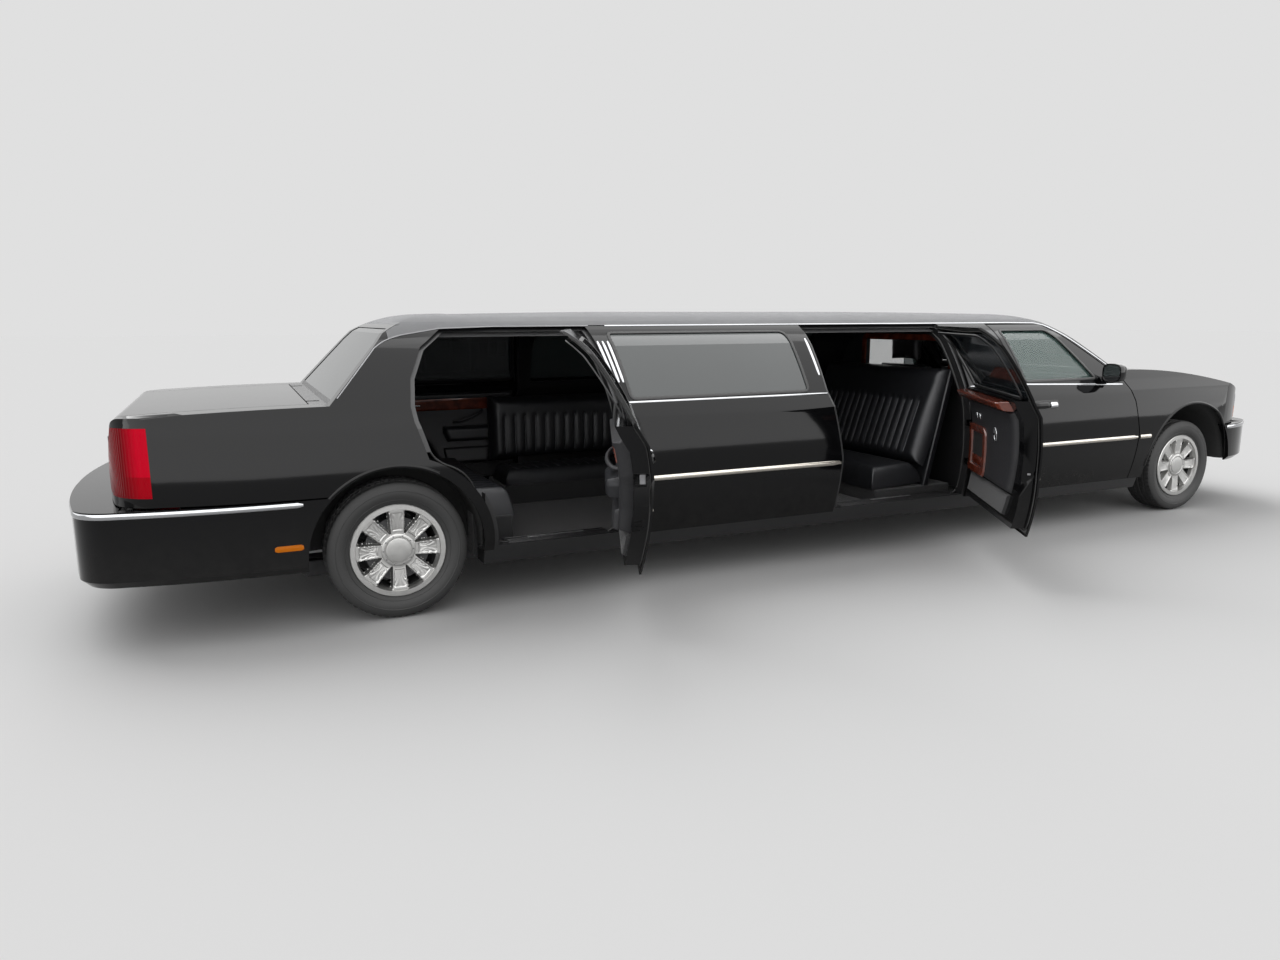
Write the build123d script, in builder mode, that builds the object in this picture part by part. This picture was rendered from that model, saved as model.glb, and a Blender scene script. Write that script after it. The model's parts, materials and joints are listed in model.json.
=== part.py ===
"""Stretched five-door saloon car, with its two right-hand cabin doors standing open.

Car frame: x runs forward from the rear axle, y to the car's left from its centre plane,
z up from the ground, all in millimetres.  Each piece is built with its doors closed and
then put where it stands, and the last lines move the car over its own footprint.
"""
import os
from math import cos, radians, sin

from build123d import *

# Overall sizes
WHEELBASE = 5860
AXLE_HEIGHT = 345
HALF_WIDTH = 997
BODY_REAR_X = -1262
NOSE_X = WHEELBASE + 800
REAR_BUMPER_X = -1440
FRONT_BUMPER_X = WHEELBASE + 1040
BELT_Z = 1020
DRIP_Z = 1440
ROOF_Z = 1508
SILL_BOTTOM_Z = 200
SKIRT_Z = 300

# Walls, seams and clearances
DOOR_SKIN = 10
BODY_SKIN = 18
WALL = 85
SHUT_GAP = 9
FLANGE = 15
DOOR_BOX_INSET = 36
ROOF_SKIN = 30
LID_SKIN = 26
GLASS = 4
GLASS_LAP = 8
SEAT_GAP = 0.3
PANEL_GAP = 6

# Floor and frame
FLOOR_Z = 245
FLOOR_SHEET = 20
TRUNK_FLOOR_Z = 523
RAIL_Y = (420, 480)
RAIL_Z = (140, FLOOR_Z - FLOOR_SHEET)
JACK_FRONT_X = 4900
JACK_REAR_X = 700
JACK_Y = 450

# Wheels
TYRE_RADIUS = 345
TYRE_WIDTH = 225
RIM_WIDTH = 200
SPOKES = 8
SPOKE_WIDTH = 62
GROOVE_WIDTH = 34
GROOVE_LENGTH = 88
GROOVE_DEPTH = 6
CAP_RADIUS = 76
TRACK_FRONT = 1610
TRACK_REAR = 1666
REAR_ARCH_RADIUS = 423
FRONT_ARCH_RADIUS = 482
DOOR_ARCH_RADIUS = 486
KINGPIN_Y = 668
KINGPIN_RADIUS = 24
HUB_RADIUS = 30

# Hinges: each door turns on an upright pin ahead of its leading edge
HINGE_AHEAD = 80
HINGE_Y = 955
HINGE_BARREL = 10
HINGE_PIN = 6
HINGE_STRAP = 8
HINGE_TALL = 34
HINGE_HEIGHTS = (540, 790)
REAR_DOOR_OPEN = 68
MIDDLE_DOOR_OPEN = 59
HOOD_HINGE_X = 5154
HOOD_HINGE_Z = 1066
HOOD_REAR_X = 5200
TRUNK_HINGE_X = -306
TRUNK_HINGE_Z = 1048
SCREEN_BASE_X = -278
SCREEN_LOW_X = 5090
LID_HINGE_Y = 560
TRUNK_FRONT_X = -360

# Where the car's own frame lies in the finished model's frame
SHIFT_X = -2730
SHIFT_Y = 468.5

RIGHT = -1
LEFT = 1
FAR = 1300
os.makedirs("parts", exist_ok=True)


def half_section():
    """Outline of the body's right half, from under the sill up and over to the roof."""
    # columns: half width, height, and how the outline arrives there
    l1 = Line((0, SILL_BOTTOM_Z), (915, SILL_BOTTOM_Z))
    l2 = Line(l1 @ 1, (945, 290))
    l3 = ThreePointArc(l2 @ 1, (984, 460), (HALF_WIDTH, 630))
    l4 = ThreePointArc(l3 @ 1, (990, 800), (968, 950))
    l5 = Line(l4 @ 1, (925, BELT_Z))
    l6 = ThreePointArc(l5 @ 1, (822, 1205), (742, 1320))
    l7 = ThreePointArc(l6 @ 1, (688, 1370), (610, 1420))
    l8 = ThreePointArc(l7 @ 1, (505, 1464), (390, 1486))
    ThreePointArc(l8 @ 1, (200, 1501), (0, ROOF_Z))


def side_outline():
    """Outline of the body seen from its side, without the bumpers."""
    l1 = Line((-1180, SILL_BOTTOM_Z), (BODY_REAR_X, 640))
    l2 = Line(l1 @ 1, (-1188, 1010))
    l3 = ThreePointArc(l2 @ 1, (-1175, 1035), (-1148, 1046))
    l4 = ThreePointArc(l3 @ 1, (-740, 1060), (SCREEN_BASE_X, 1066))
    l5 = Line(l4 @ 1, (20, 1398))
    l6 = ThreePointArc(l5 @ 1, (160, 1463), (430, 1494))
    l7 = ThreePointArc(l6 @ 1, (2400, 1512), (4330, 1490))
    l8 = ThreePointArc(l7 @ 1, (4500, 1474), (4640, 1432))
    l9 = Line(l8 @ 1, (SCREEN_LOW_X, 1090))
    l10 = ThreePointArc(l9 @ 1, (5900, 1038), (6480, 915))
    l11 = ThreePointArc(l10 @ 1, (6585, 872), (6640, 800))
    l12 = Line(l11 @ 1, (6652, SILL_BOTTOM_Z))
    Line(l12 @ 1, l1 @ 0)


def plan_outline():
    """Right half of the body's outline seen from above."""
    l1 = ThreePointArc((BODY_REAR_X, 0), (-1250, 400), (-1205, 740))
    l2 = ThreePointArc(l1 @ 1, (-1150, 850), (-1010, 925))
    l3 = ThreePointArc(l2 @ 1, (-700, 985), (-300, 1005))
    l4 = Line(l3 @ 1, (5900, 1005))
    l5 = ThreePointArc(l4 @ 1, (6260, 968), (6470, 890))
    l6 = ThreePointArc(l5 @ 1, (6585, 790), (6630, 640))
    ThreePointArc(l6 @ 1, (6654, 320), (NOSE_X, 0))


def body_form(inset):
    """Closed form of the body, its surface moved inwards by inset."""
    with BuildPart() as form:
        with BuildSketch(Plane.YZ.offset(BODY_REAR_X - 100)):
            with BuildLine():
                half_section()
                mirror(about=Plane.YZ)
            make_face()
            if inset:
                offset(amount=-inset, kind=Kind.ARC)
        extrude(amount=NOSE_X - BODY_REAR_X + 200)
        with BuildSketch(Plane.XZ):
            with BuildLine():
                side_outline()
            make_face()
            if inset:
                offset(amount=-inset, kind=Kind.ARC)
        extrude(amount=FAR, both=True, mode=Mode.INTERSECT)
        with BuildSketch(Plane.XY):
            with BuildLine():
                plan_outline()
                mirror(about=Plane.XZ)
            make_face()
            if inset:
                offset(amount=-inset, kind=Kind.ARC)
        extrude(amount=ROOF_Z + 100, mode=Mode.INTERSECT)
    return form.part


def cut_away(outer, *inner):
    """What is left of one form when others are taken from it."""
    with BuildPart() as rest:
        add(outer)
        for form in inner:
            add(form, mode=Mode.SUBTRACT)
    return rest.part


def keep(form, *masks):
    """What one form shares with each of the masks."""
    with BuildPart() as shared:
        add(form)
        for mask in masks:
            add(mask, mode=Mode.INTERSECT)
    return shared.part


def block(x0, x1, y0, y1, z0, z1):
    """Straight block between two corners."""
    with BuildPart() as piece:
        with BuildSketch(Plane.XY.offset(z0)):
            with Locations(((x0 + x1) / 2, (y0 + y1) / 2)):
                Rectangle(x1 - x0, y1 - y0)
        extrude(amount=z1 - z0)
    return piece.part


def side_mask(points, grow=0, radius=0, arch=0, near=-FAR, far=0):
    """Prism across the car with an outline in side view, from y = near to y = far."""
    with BuildPart() as mask:
        with BuildSketch(Plane.XZ.offset(-far)):
            with BuildLine():
                if radius:
                    FilletPolyline(*points, radius=radius, close=True)
                else:
                    Polyline(*points, close=True)
            make_face()
            if arch:
                with Locations((0, AXLE_HEIGHT)):
                    Circle(arch, mode=Mode.SUBTRACT)
            if grow:
                offset(amount=grow, kind=Kind.INTERSECTION)
        extrude(amount=far - near)
    return mask.part


def front_mask(points, x0, x1):
    """Prism along the car with an outline in front view, symmetric about its centre."""
    with BuildPart() as mask:
        with BuildSketch(Plane.YZ.offset(x0)):
            with BuildLine():
                Polyline(*points, close=True)
            make_face()
        extrude(amount=x1 - x0)
    return mask.part


def plan_mask(points, z0, z1):
    """Upright prism with an outline seen from above."""
    with BuildPart() as mask:
        with BuildSketch(Plane.XY.offset(z0)):
            with BuildLine():
                Polyline(*points, close=True)
            make_face()
        extrude(amount=z1 - z0)
    return mask.part


def other_side(piece):
    """The same piece mirrored to the car's other side."""
    with BuildPart() as twin:
        add(piece)
        mirror(about=Plane.XZ, mode=Mode.REPLACE)
    return twin.part


# Door outlines in side view, columns: x, z
REAR_DOOR = [(1190, SKIRT_Z), (1190, BELT_Z), (1116, 1415), (325, 1415), (194, 1323), (122, 1180), (104, 1050),
             (112, 978), (174, 775), (120, 700), (120, SKIRT_Z)]
MIDDLE_DOOR = [(2607, SKIRT_Z), (2627, 633), (2568, 968), (2551, 1045), (2543, 1332), (2550, 1415), (3645, 1415),
               (3660, 1350), (3660, SKIRT_Z)]
FRONT_DOOR = [(4120, SKIRT_Z), (4120, BELT_Z), (4092, 1415), (4590, 1415), (4985, 1120), (5118, 1023),
              (5200, 870), (5250, 640), (5228, SKIRT_Z)]
# Window outlines in side view, columns: x, z
REAR_DOOR_WINDOW = [(1135, 1045), (1078, 1372), (355, 1372), (235, 1290), (176, 1170), (165, 1045)]
MIDDLE_DOOR_WINDOW = [(2608, 1045), (2600, 1345), (2625, 1372), (3570, 1372), (3595, 1345), (3600, 1045)]
FRONT_DOOR_WINDOW = [(4175, 1040), (4140, 1378), (4578, 1378), (4640, 1318), (4850, 1040)]
STRETCH_WINDOW = [(1268, 1040), (1228, 1388), (2372, 1388), (2400, 1360), (2419, 1040)]
LEFT_WINDOW = [(2608, 1040), (2600, 1360), (2628, 1388), (3570, 1388), (3595, 1360), (3600, 1040)]
# Glass areas in front view, columns: y, z
WINDSCREEN = [(-880, 1000), (880, 1000), (750, 1240), (540, 1424), (-540, 1424), (-750, 1240)]
REAR_SCREEN = [(-830, 990), (830, 990), (796, 1070), (640, 1350), (530, 1420), (-530, 1420), (-640, 1350),
               (-796, 1070)]

# Closed forms at the depths of the skins and walls
skin_form = body_form(0)
door_skin_form = body_form(DOOR_SKIN)
body_skin_form = body_form(BODY_SKIN)
wall_form = body_form(WALL)
skin_shell = cut_away(skin_form, body_skin_form)
door_skin_shell = cut_away(skin_form, door_skin_form)
door_box_shell = cut_away(door_skin_form, wall_form)
wall_shell = cut_away(body_skin_form, wall_form)
roof_shell = cut_away(skin_form, body_form(ROOF_SKIN))
lid_shell = cut_away(skin_form, body_form(LID_SKIN))
glass_outer = body_form(DOOR_SKIN + SEAT_GAP)
glass_inner = body_form(DOOR_SKIN + SEAT_GAP + GLASS)
glass_shell = cut_away(glass_outer, glass_inner)

with BuildPart() as rear_arch_hole:
    with BuildSketch(Plane.XZ.offset(600)):
        with Locations((0, AXLE_HEIGHT)):
            Circle(REAR_ARCH_RADIUS)
    extrude(amount=600)
with BuildPart() as front_arch_hole:
    with BuildSketch(Plane.XZ.offset(450)):
        with Locations((WHEELBASE, AXLE_HEIGHT)):
            Circle(FRONT_ARCH_RADIUS)
    extrude(amount=750)

windscreen_mask = front_mask(WINDSCREEN, 4400, HOOD_REAR_X + PANEL_GAP)
rear_screen_mask = front_mask(REAR_SCREEN, TRUNK_FRONT_X + PANEL_GAP, 300)


def save(piece, name, turned=0, pin_x=0, side=RIGHT):
    """Write a finished piece, with a door turned about its hinge, in the model's frame."""
    placed = piece
    if turned:
        pin = Axis((pin_x, side * HINGE_Y, 0), (0, 0, 1))
        placed = piece.rotate(pin, turned)
    placed = placed.translate((SHIFT_X, SHIFT_Y, 0))
    placed.label = name
    export_step(placed, f"parts/{name}.step")


def save_pair(piece, name):
    """Write a right-hand piece and its mirrored twin."""
    save(piece, f"{name}_right")
    save(other_side(piece), f"{name}_left")


# Side frames: sills, pillars and cantrails inside the skins
FRAME_FRONT_X = 5366
SIDE_FRAME = [(-330, 830), (-330, 1040), (-250, 1060), (25, 1345), (100, DRIP_Z), (4640, DRIP_Z), (5110, 1070),
              (FRAME_FRONT_X, 1000), (FRAME_FRONT_X, SILL_BOTTOM_Z), (430, SILL_BOTTOM_Z), (430, 830)]
A_PILLAR = [(4300, 1400), (4300, DRIP_Z), (4800, DRIP_Z), (5180, 1130), (5180, 1062), (5000, 1050)]
SILL_INNER_Y = 780


def edge_x(points, height):
    """Where a door's leading edge stands at a height."""
    middle = sum(point[0] for point in points) / len(points)
    ahead = sorted((point[1], point[0]) for point in points if point[0] > middle)
    for low, high in zip(ahead, ahead[1:]):
        if low[0] <= height <= high[0]:
            return low[1] + (high[1] - low[1]) * (height - low[0]) / (high[0] - low[0])


def hinge_x(points):
    """Where a door's hinge pins stand, ahead of its leading edge."""
    return max(point[0] for point in points) + HINGE_AHEAD


def hinge_reach(points, height):
    """How far a hinge strap reaches inwards, to swing clear round the fixed skin's edge."""
    return hinge_x(points) - edge_x(points, height) - 3


def hinge_pocket(points, height):
    """Room in a pillar for one hinge, open towards the doorway."""
    x = hinge_x(points)
    half = HINGE_TALL / 2 + PANEL_GAP
    inner_y = -HINGE_Y + hinge_reach(points, height) + HINGE_STRAP + PANEL_GAP
    return block(edge_x(points, height) - FLANGE - 20, x + HINGE_BARREL + PANEL_GAP,
                 -HALF_WIDTH, inner_y, height - half, height + half)


def hinge_pin(points, height):
    """Upright pin across one hinge pocket."""
    half = HINGE_TALL / 2 + PANEL_GAP
    with BuildPart() as pin:
        with BuildSketch(Plane.XY.offset(height - half - 5)):
            with Locations((hinge_x(points), -HINGE_Y)):
                Circle(HINGE_PIN)
        extrude(amount=2 * half + 10)
    return pin.part


def hinge_strap(points, height):
    """Cranked strap from a hinge pin to the door's leading face."""
    x = hinge_x(points)
    reach = hinge_reach(points, height)
    end = edge_x(points, height) - DOOR_BOX_INSET - 8
    with BuildPart() as strap:
        with BuildSketch(Plane.XY.offset(height - HINGE_TALL / 2)):
            with BuildLine():
                FilletPolyline((x, -HINGE_Y), (x - 6, -HINGE_Y + reach), (end + 24, -HINGE_Y + reach),
                               (end, -HINGE_Y + min(reach, 44)), radius=8)
                offset(amount=HINGE_STRAP / 2, side=Side.BOTH)
            make_face()
            with Locations((x, -HINGE_Y)):
                Circle(HINGE_BARREL)
                Circle(HINGE_PIN + SEAT_GAP, mode=Mode.SUBTRACT)
        extrude(amount=HINGE_TALL)
    return strap.part


def side_frame(doors, windows):
    """One side's frame, with an opening inside each door and behind each fixed window."""
    pillar = cut_away(keep(skin_shell, side_mask(A_PILLAR, far=-300)), side_mask(FRONT_DOOR, grow=SHUT_GAP))
    with BuildPart() as frame:
        add(keep(wall_shell, side_mask(SIDE_FRAME, far=-300)))
        add(pillar)
        add(block(-400, 5400, -SILL_INNER_Y, 0, 0, 1000), mode=Mode.SUBTRACT)
        for points, arch in doors:
            add(side_mask(points, grow=-FLANGE, arch=arch), mode=Mode.SUBTRACT)
        for points in windows:
            add(side_mask(points, grow=FLANGE), mode=Mode.SUBTRACT)
        add(windscreen_mask, mode=Mode.SUBTRACT)
        add(rear_screen_mask, mode=Mode.SUBTRACT)
        add(rear_arch_hole.part, mode=Mode.SUBTRACT)
        for points, arch in doors:
            for height in HINGE_HEIGHTS:
                add(hinge_pocket(points, height), mode=Mode.SUBTRACT)
                add(hinge_pin(points, height))
    return frame.part


RIGHT_DOORS = [(REAR_DOOR, DOOR_ARCH_RADIUS), (MIDDLE_DOOR, 0), (FRONT_DOOR, 0)]
LEFT_DOORS = [(REAR_DOOR, DOOR_ARCH_RADIUS), (FRONT_DOOR, 0)]
save(side_frame(RIGHT_DOORS, [STRETCH_WINDOW]), "side_frame_right")
save(other_side(side_frame(LEFT_DOORS, [STRETCH_WINDOW, LEFT_WINDOW])), "side_frame_left")

# Roof
roof = keep(roof_shell, block(-400, 5000, -FAR, FAR, DRIP_Z, ROOF_Z + 50))
save(roof, "roof")

# Skins of the sides: quarters, stretch panels and fenders
QUARTER = [(-1300, 652), (-1300, 1100), (-560, 1100), (-140, DRIP_Z), (700, DRIP_Z), (700, 1380),
           (600, SKIRT_Z), (0, SKIRT_Z), (0, 652)]
STRETCH = [(700 + SEAT_GAP, SKIRT_Z), (700 + SEAT_GAP, DRIP_Z), (4300, DRIP_Z), (4300, SKIRT_Z)]
FENDER = [(5100, SKIRT_Z), (5100, 1110), (6700, 1110), (6700, 652), (6000, 652), (6000, SKIRT_Z)]
TAIL_LAMP = (-1300, -1040, 545, 1000, 694, 1004)
HEAD_LAMP = (6490, 6700, 385, 1000, 676, 862)
TRUNK_SIDE_Y = 735
TRUNK_LOW_Y = 530
TRUNK_LOW_Z = 700
HOOD_PLAN = [(HOOD_REAR_X, -800), (HOOD_REAR_X, 800), (6545, 655), (6545, -655)]
COWL_Y = 779


def trunk_mask(grow):
    """Space of the trunk lid: the deck and the panel between the lamps."""
    with BuildPart() as mask:
        add(block(-1400, TRUNK_FRONT_X + grow, -TRUNK_SIDE_Y - grow, TRUNK_SIDE_Y + grow,
                  1012 - grow, 1200))
        add(block(-1400, -1000, -TRUNK_LOW_Y - grow, TRUNK_LOW_Y + grow, TRUNK_LOW_Z - grow, 1100))
    return mask.part


def hood_mask(grow):
    """Space of the hood, seen from above."""
    with BuildPart() as mask:
        with BuildSketch(Plane.XY.offset(820)):
            with BuildLine():
                Polyline(*HOOD_PLAN, close=True)
            make_face()
            if grow:
                offset(amount=grow, kind=Kind.INTERSECTION)
        extrude(amount=400)
    return mask.part


def lamp_mask(corners, grow=0):
    """Space of one right-hand lamp."""
    x0, x1, y0, y1, z0, z1 = corners
    return block(x0 - grow, x1 + grow, -y1, -y0 + grow, z0 - grow, z1 + grow)


with BuildPart() as quarter_right:
    add(keep(skin_shell, side_mask(QUARTER)))
    add(side_mask(REAR_DOOR, grow=SHUT_GAP, arch=DOOR_ARCH_RADIUS), mode=Mode.SUBTRACT)
    add(rear_arch_hole.part, mode=Mode.SUBTRACT)
    add(rear_screen_mask, mode=Mode.SUBTRACT)
    add(trunk_mask(PANEL_GAP), mode=Mode.SUBTRACT)
    add(lamp_mask(TAIL_LAMP, SEAT_GAP), mode=Mode.SUBTRACT)
save_pair(quarter_right.part, "quarter")

with BuildPart() as stretch_right:
    add(keep(skin_shell, side_mask(STRETCH)))
    for points, arch in RIGHT_DOORS:
        add(side_mask(points, grow=SHUT_GAP, arch=arch), mode=Mode.SUBTRACT)
    add(side_mask(STRETCH_WINDOW), mode=Mode.SUBTRACT)
save(stretch_right.part, "stretch_side_right")

with BuildPart() as stretch_left:
    add(keep(skin_shell, side_mask(STRETCH)))
    for points, arch in LEFT_DOORS:
        add(side_mask(points, grow=SHUT_GAP, arch=arch), mode=Mode.SUBTRACT)
    add(side_mask(STRETCH_WINDOW), mode=Mode.SUBTRACT)
    add(side_mask(LEFT_WINDOW), mode=Mode.SUBTRACT)
save(other_side(stretch_left.part), "stretch_side_left")

with BuildPart() as fender_right:
    add(keep(skin_shell, side_mask(FENDER)))
    add(side_mask(FRONT_DOOR, grow=SHUT_GAP), mode=Mode.SUBTRACT)
    add(side_mask(A_PILLAR, far=-300), mode=Mode.SUBTRACT)
    add(front_arch_hole.part, mode=Mode.SUBTRACT)
    add(hood_mask(PANEL_GAP), mode=Mode.SUBTRACT)
    add(lamp_mask(HEAD_LAMP, SEAT_GAP), mode=Mode.SUBTRACT)
    add(block(6551, 6800, -700, 0, 500, 1000), mode=Mode.SUBTRACT)
    add(windscreen_mask, mode=Mode.SUBTRACT)
save_pair(fender_right.part, "fender")

# Nose panel, grille and lamps
GRILLE_Y = 330
GRILLE_Z = (690, 852)
GRILLE_BARS = 21
nose_form = cut_away(skin_form, body_form(60))
with BuildPart() as nose_panel:
    add(keep(skin_shell, block(6551, 6800, -700 + SEAT_GAP, 700 - SEAT_GAP, 652, 1000)))
    add(block(6500, 6800, -GRILLE_Y, GRILLE_Y, *GRILLE_Z), mode=Mode.SUBTRACT)
    add(lamp_mask(HEAD_LAMP, SEAT_GAP), mode=Mode.SUBTRACT)
    add(other_side(lamp_mask(HEAD_LAMP, SEAT_GAP)), mode=Mode.SUBTRACT)
save(nose_panel.part, "nose_panel")

with BuildPart() as grille:
    add(keep(nose_form, block(6551, 6800, -GRILLE_Y + SEAT_GAP, GRILLE_Y - SEAT_GAP,
                              GRILLE_Z[0] + SEAT_GAP, GRILLE_Z[1] - SEAT_GAP)))
    with BuildSketch(Plane.YZ.offset(6500)):
        pitch = (2 * GRILLE_Y - 50) / GRILLE_BARS
        with Locations((0, (GRILLE_Z[0] + GRILLE_Z[1]) / 2)):
            with GridLocations(pitch, 10, GRILLE_BARS, 1):
                Rectangle(pitch - 9, GRILLE_Z[1] - GRILLE_Z[0] - 50)
    extrude(amount=300, mode=Mode.SUBTRACT)
save(grille.part, "grille")

for corners, name in ((HEAD_LAMP, "headlamps"), (TAIL_LAMP, "tail_lamps")):
    lamp = keep(nose_form, lamp_mask(corners))
    with BuildPart() as lamps:
        add(lamp)
        add(other_side(lamp))
    save(lamps.part, name)

# Hood, trunk lid, cowl and rear deck
LID_STRAP_Y = 16
LID_BARREL = 9
LID_PIN = 5
LID_NOTCH = 6


def lid_hinge(pin_x, pin_z, toward, reach):
    """Two straps of a lid, each with an eye round the hinge pin."""
    with BuildPart() as straps:
        for side in (RIGHT, LEFT):
            with BuildSketch(Plane.XZ.offset(-side * LID_HINGE_Y - LID_STRAP_Y)):
                with Locations((pin_x, pin_z)):
                    Circle(LID_BARREL)
                with Locations((pin_x + toward * reach / 2, pin_z - 2)):
                    Rectangle(reach, LID_STRAP_Y / 2)
                with Locations((pin_x, pin_z)):
                    Circle(LID_PIN + SEAT_GAP, mode=Mode.SUBTRACT)
            extrude(amount=2 * LID_STRAP_Y)
    return straps.part


def lid_seat(pin_x, edge_x_near, toward, z0, z1):
    """Notches for a lid's hinge straps in the panel that carries them."""
    x0, x1 = sorted((pin_x - toward * (LID_BARREL + LID_NOTCH), edge_x_near + toward * 2))
    half = LID_STRAP_Y + LID_NOTCH
    with BuildPart() as notches:
        for side in (RIGHT, LEFT):
            add(block(x0, x1, side * LID_HINGE_Y - half, side * LID_HINGE_Y + half, z0, z1))
    return notches.part


def lid_pins(pin_x, pin_z):
    """Pins across the notches of a lid's hinges."""
    half = LID_STRAP_Y + LID_NOTCH + 4
    with BuildPart() as pins:
        for side in (RIGHT, LEFT):
            with BuildSketch(Plane.XZ.offset(-side * LID_HINGE_Y - half)):
                with Locations((pin_x, pin_z)):
                    Circle(LID_PIN)
            extrude(amount=2 * half)
    return pins.part


with BuildPart() as hood:
    add(keep(lid_shell, hood_mask(0)))
    add(lid_hinge(HOOD_HINGE_X, HOOD_HINGE_Z, 1, HOOD_REAR_X + 30 - HOOD_HINGE_X))
save(hood.part, "hood")

# The plate carrier on the trunk lid, and its two screw holes
PLATE_FACE_X = -1270
PLATE_Z = 862
PLATE_SPACING = 177.8
PLATE_HOLE = 3
with BuildPart() as trunk_lid:
    add(keep(lid_shell, trunk_mask(0)))
    add(lid_hinge(TRUNK_HINGE_X, TRUNK_HINGE_Z, -1, TRUNK_HINGE_X - TRUNK_FRONT_X + 30))
    add(block(PLATE_FACE_X, -1205, -162, 162, PLATE_Z - 132, PLATE_Z + 32))
    with BuildSketch(Plane.YZ.offset(PLATE_FACE_X)):
        with Locations((-PLATE_SPACING / 2, PLATE_Z), (PLATE_SPACING / 2, PLATE_Z)):
            Circle(PLATE_HOLE)
    extrude(amount=16, mode=Mode.SUBTRACT)
save(trunk_lid.part, "trunk_lid")

# Cowl: the strip below the windscreen, the ledge under it and the firewall
FIREWALL_X = 5268
COWL_X = 5120
LEDGE_Z = 1002
with BuildPart() as cowl:
    add(keep(roof_shell, block(SCREEN_LOW_X - 6, HOOD_REAR_X - SHUT_GAP, -FAR, FAR, 1040, ROOF_Z),
             windscreen_mask))
    add(block(COWL_X, COWL_X + 12, -COWL_Y, COWL_Y, LEDGE_Z - 12, HOOD_HINGE_Z))
    add(block(COWL_X, FIREWALL_X + 12, -COWL_Y, COWL_Y, LEDGE_Z - 12, LEDGE_Z))
    add(block(FIREWALL_X, FIREWALL_X + 12, -COWL_Y, COWL_Y, FLOOR_Z, LEDGE_Z))
    add(lid_seat(HOOD_HINGE_X, HOOD_REAR_X, 1, LEDGE_Z + 4, ROOF_Z), mode=Mode.SUBTRACT)
    add(lid_pins(HOOD_HINGE_X, HOOD_HINGE_Z))
save(cowl.part, "cowl")

DECK_Z = 1018
DECK_FRONT_X = -260
with BuildPart() as rear_deck:
    add(keep(roof_shell, block(TRUNK_FRONT_X + PANEL_GAP, DECK_FRONT_X, -FAR, FAR, 990, ROOF_Z),
             rear_screen_mask))
    add(block(TRUNK_FRONT_X + PANEL_GAP, 40, -690, 690, DECK_Z, DECK_Z + 22))
    add(lid_seat(TRUNK_HINGE_X, TRUNK_FRONT_X, -1, TRUNK_HINGE_Z - 18, ROOF_Z), mode=Mode.SUBTRACT)
    add(lid_pins(TRUNK_HINGE_X, TRUNK_HINGE_Z))
save(rear_deck.part, "rear_deck")

# Bumpers
BUMPER_WALL = 45
BUMPER_SHELF = 14
BUMPER_TUCK = 32
REAR_BUMPER_LOW_Z = 300
FRONT_BUMPER_LOW_Z = 360
BUMPER_HIGH_Z = 646
REAR_BUMPER_END_X = -300
FRONT_BUMPER_END_X = 6228


def bumper(outline, end_x, low_z, reach, shelf_x, bracket):
    """Bumper cover: a wall bent round one end of the car, with a shelf along its top."""
    with BuildPart() as cover:
        with BuildSketch(Plane.XY.offset(low_z)):
            with BuildLine():
                outline()
                mirror(about=Plane.XZ)
            make_face()
            offset(amount=-BUMPER_TUCK, kind=Kind.INTERSECTION)
        with BuildSketch(Plane.XY.offset(low_z + BUMPER_TUCK)) as plan:
            with BuildLine():
                outline()
                mirror(about=Plane.XZ)
            make_face()
        loft(ruled=True)
        extrude(plan.sketch, amount=BUMPER_HIGH_Z - low_z - BUMPER_TUCK)
        with BuildSketch(Plane.XY.offset(low_z)):
            with BuildLine():
                outline()
                mirror(about=Plane.XZ)
            make_face()
            offset(amount=-BUMPER_WALL, kind=Kind.INTERSECTION)
        extrude(amount=BUMPER_HIGH_Z - low_z - BUMPER_SHELF, mode=Mode.SUBTRACT)
        x0, x1 = sorted((end_x, reach))
        add(block(x0 - 1, x1 + 1, -HALF_WIDTH + BUMPER_WALL + 20, HALF_WIDTH - BUMPER_WALL - 20, 0, 1000),
            mode=Mode.SUBTRACT)
        x0, x1 = sorted((end_x, shelf_x))
        add(block(x0 - 1, x1, -880, 880, 0, 1000), mode=Mode.SUBTRACT)
        for side in (RIGHT, LEFT):
            y0, y1 = sorted((side * RAIL_Y[0], side * RAIL_Y[1]))
            add(block(*bracket, y0, y1, RAIL_Z[1] + SEAT_GAP, low_z + 60))
    return cover.part


def rear_bumper_outline():
    """Right half of the rear bumper seen from above."""
    l1 = Line((REAR_BUMPER_END_X, 0), (REAR_BUMPER_END_X, 1001))
    l2 = ThreePointArc(l1 @ 1, (-820, 988), (-1190, 925))
    l3 = ThreePointArc(l2 @ 1, (-1320, 860), (-1372, 740))
    ThreePointArc(l3 @ 1, (-1424, 380), (REAR_BUMPER_X, 0))


def front_bumper_outline():
    """Right half of the front bumper seen from above."""
    l1 = Line((FRONT_BUMPER_END_X, 0), (FRONT_BUMPER_END_X, 980))
    l2 = ThreePointArc(l1 @ 1, (6480, 944), (6680, 850))
    l3 = ThreePointArc(l2 @ 1, (6780, 770), (6826, 660))
    ThreePointArc(l3 @ 1, (6882, 330), (FRONT_BUMPER_X, 0))


rear_cover = bumper(rear_bumper_outline, REAR_BUMPER_END_X, REAR_BUMPER_LOW_Z, -500, -1180, (-1385, -1200))
save(cut_away(rear_cover, rear_arch_hole.part, other_side(rear_arch_hole.part)), "rear_bumper")
front_cover = bumper(front_bumper_outline, FRONT_BUMPER_END_X, FRONT_BUMPER_LOW_Z, 6400, 6600, (6450, 6830))
save(cut_away(front_cover, front_arch_hole.part, other_side(front_arch_hole.part)), "front_bumper")

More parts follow.
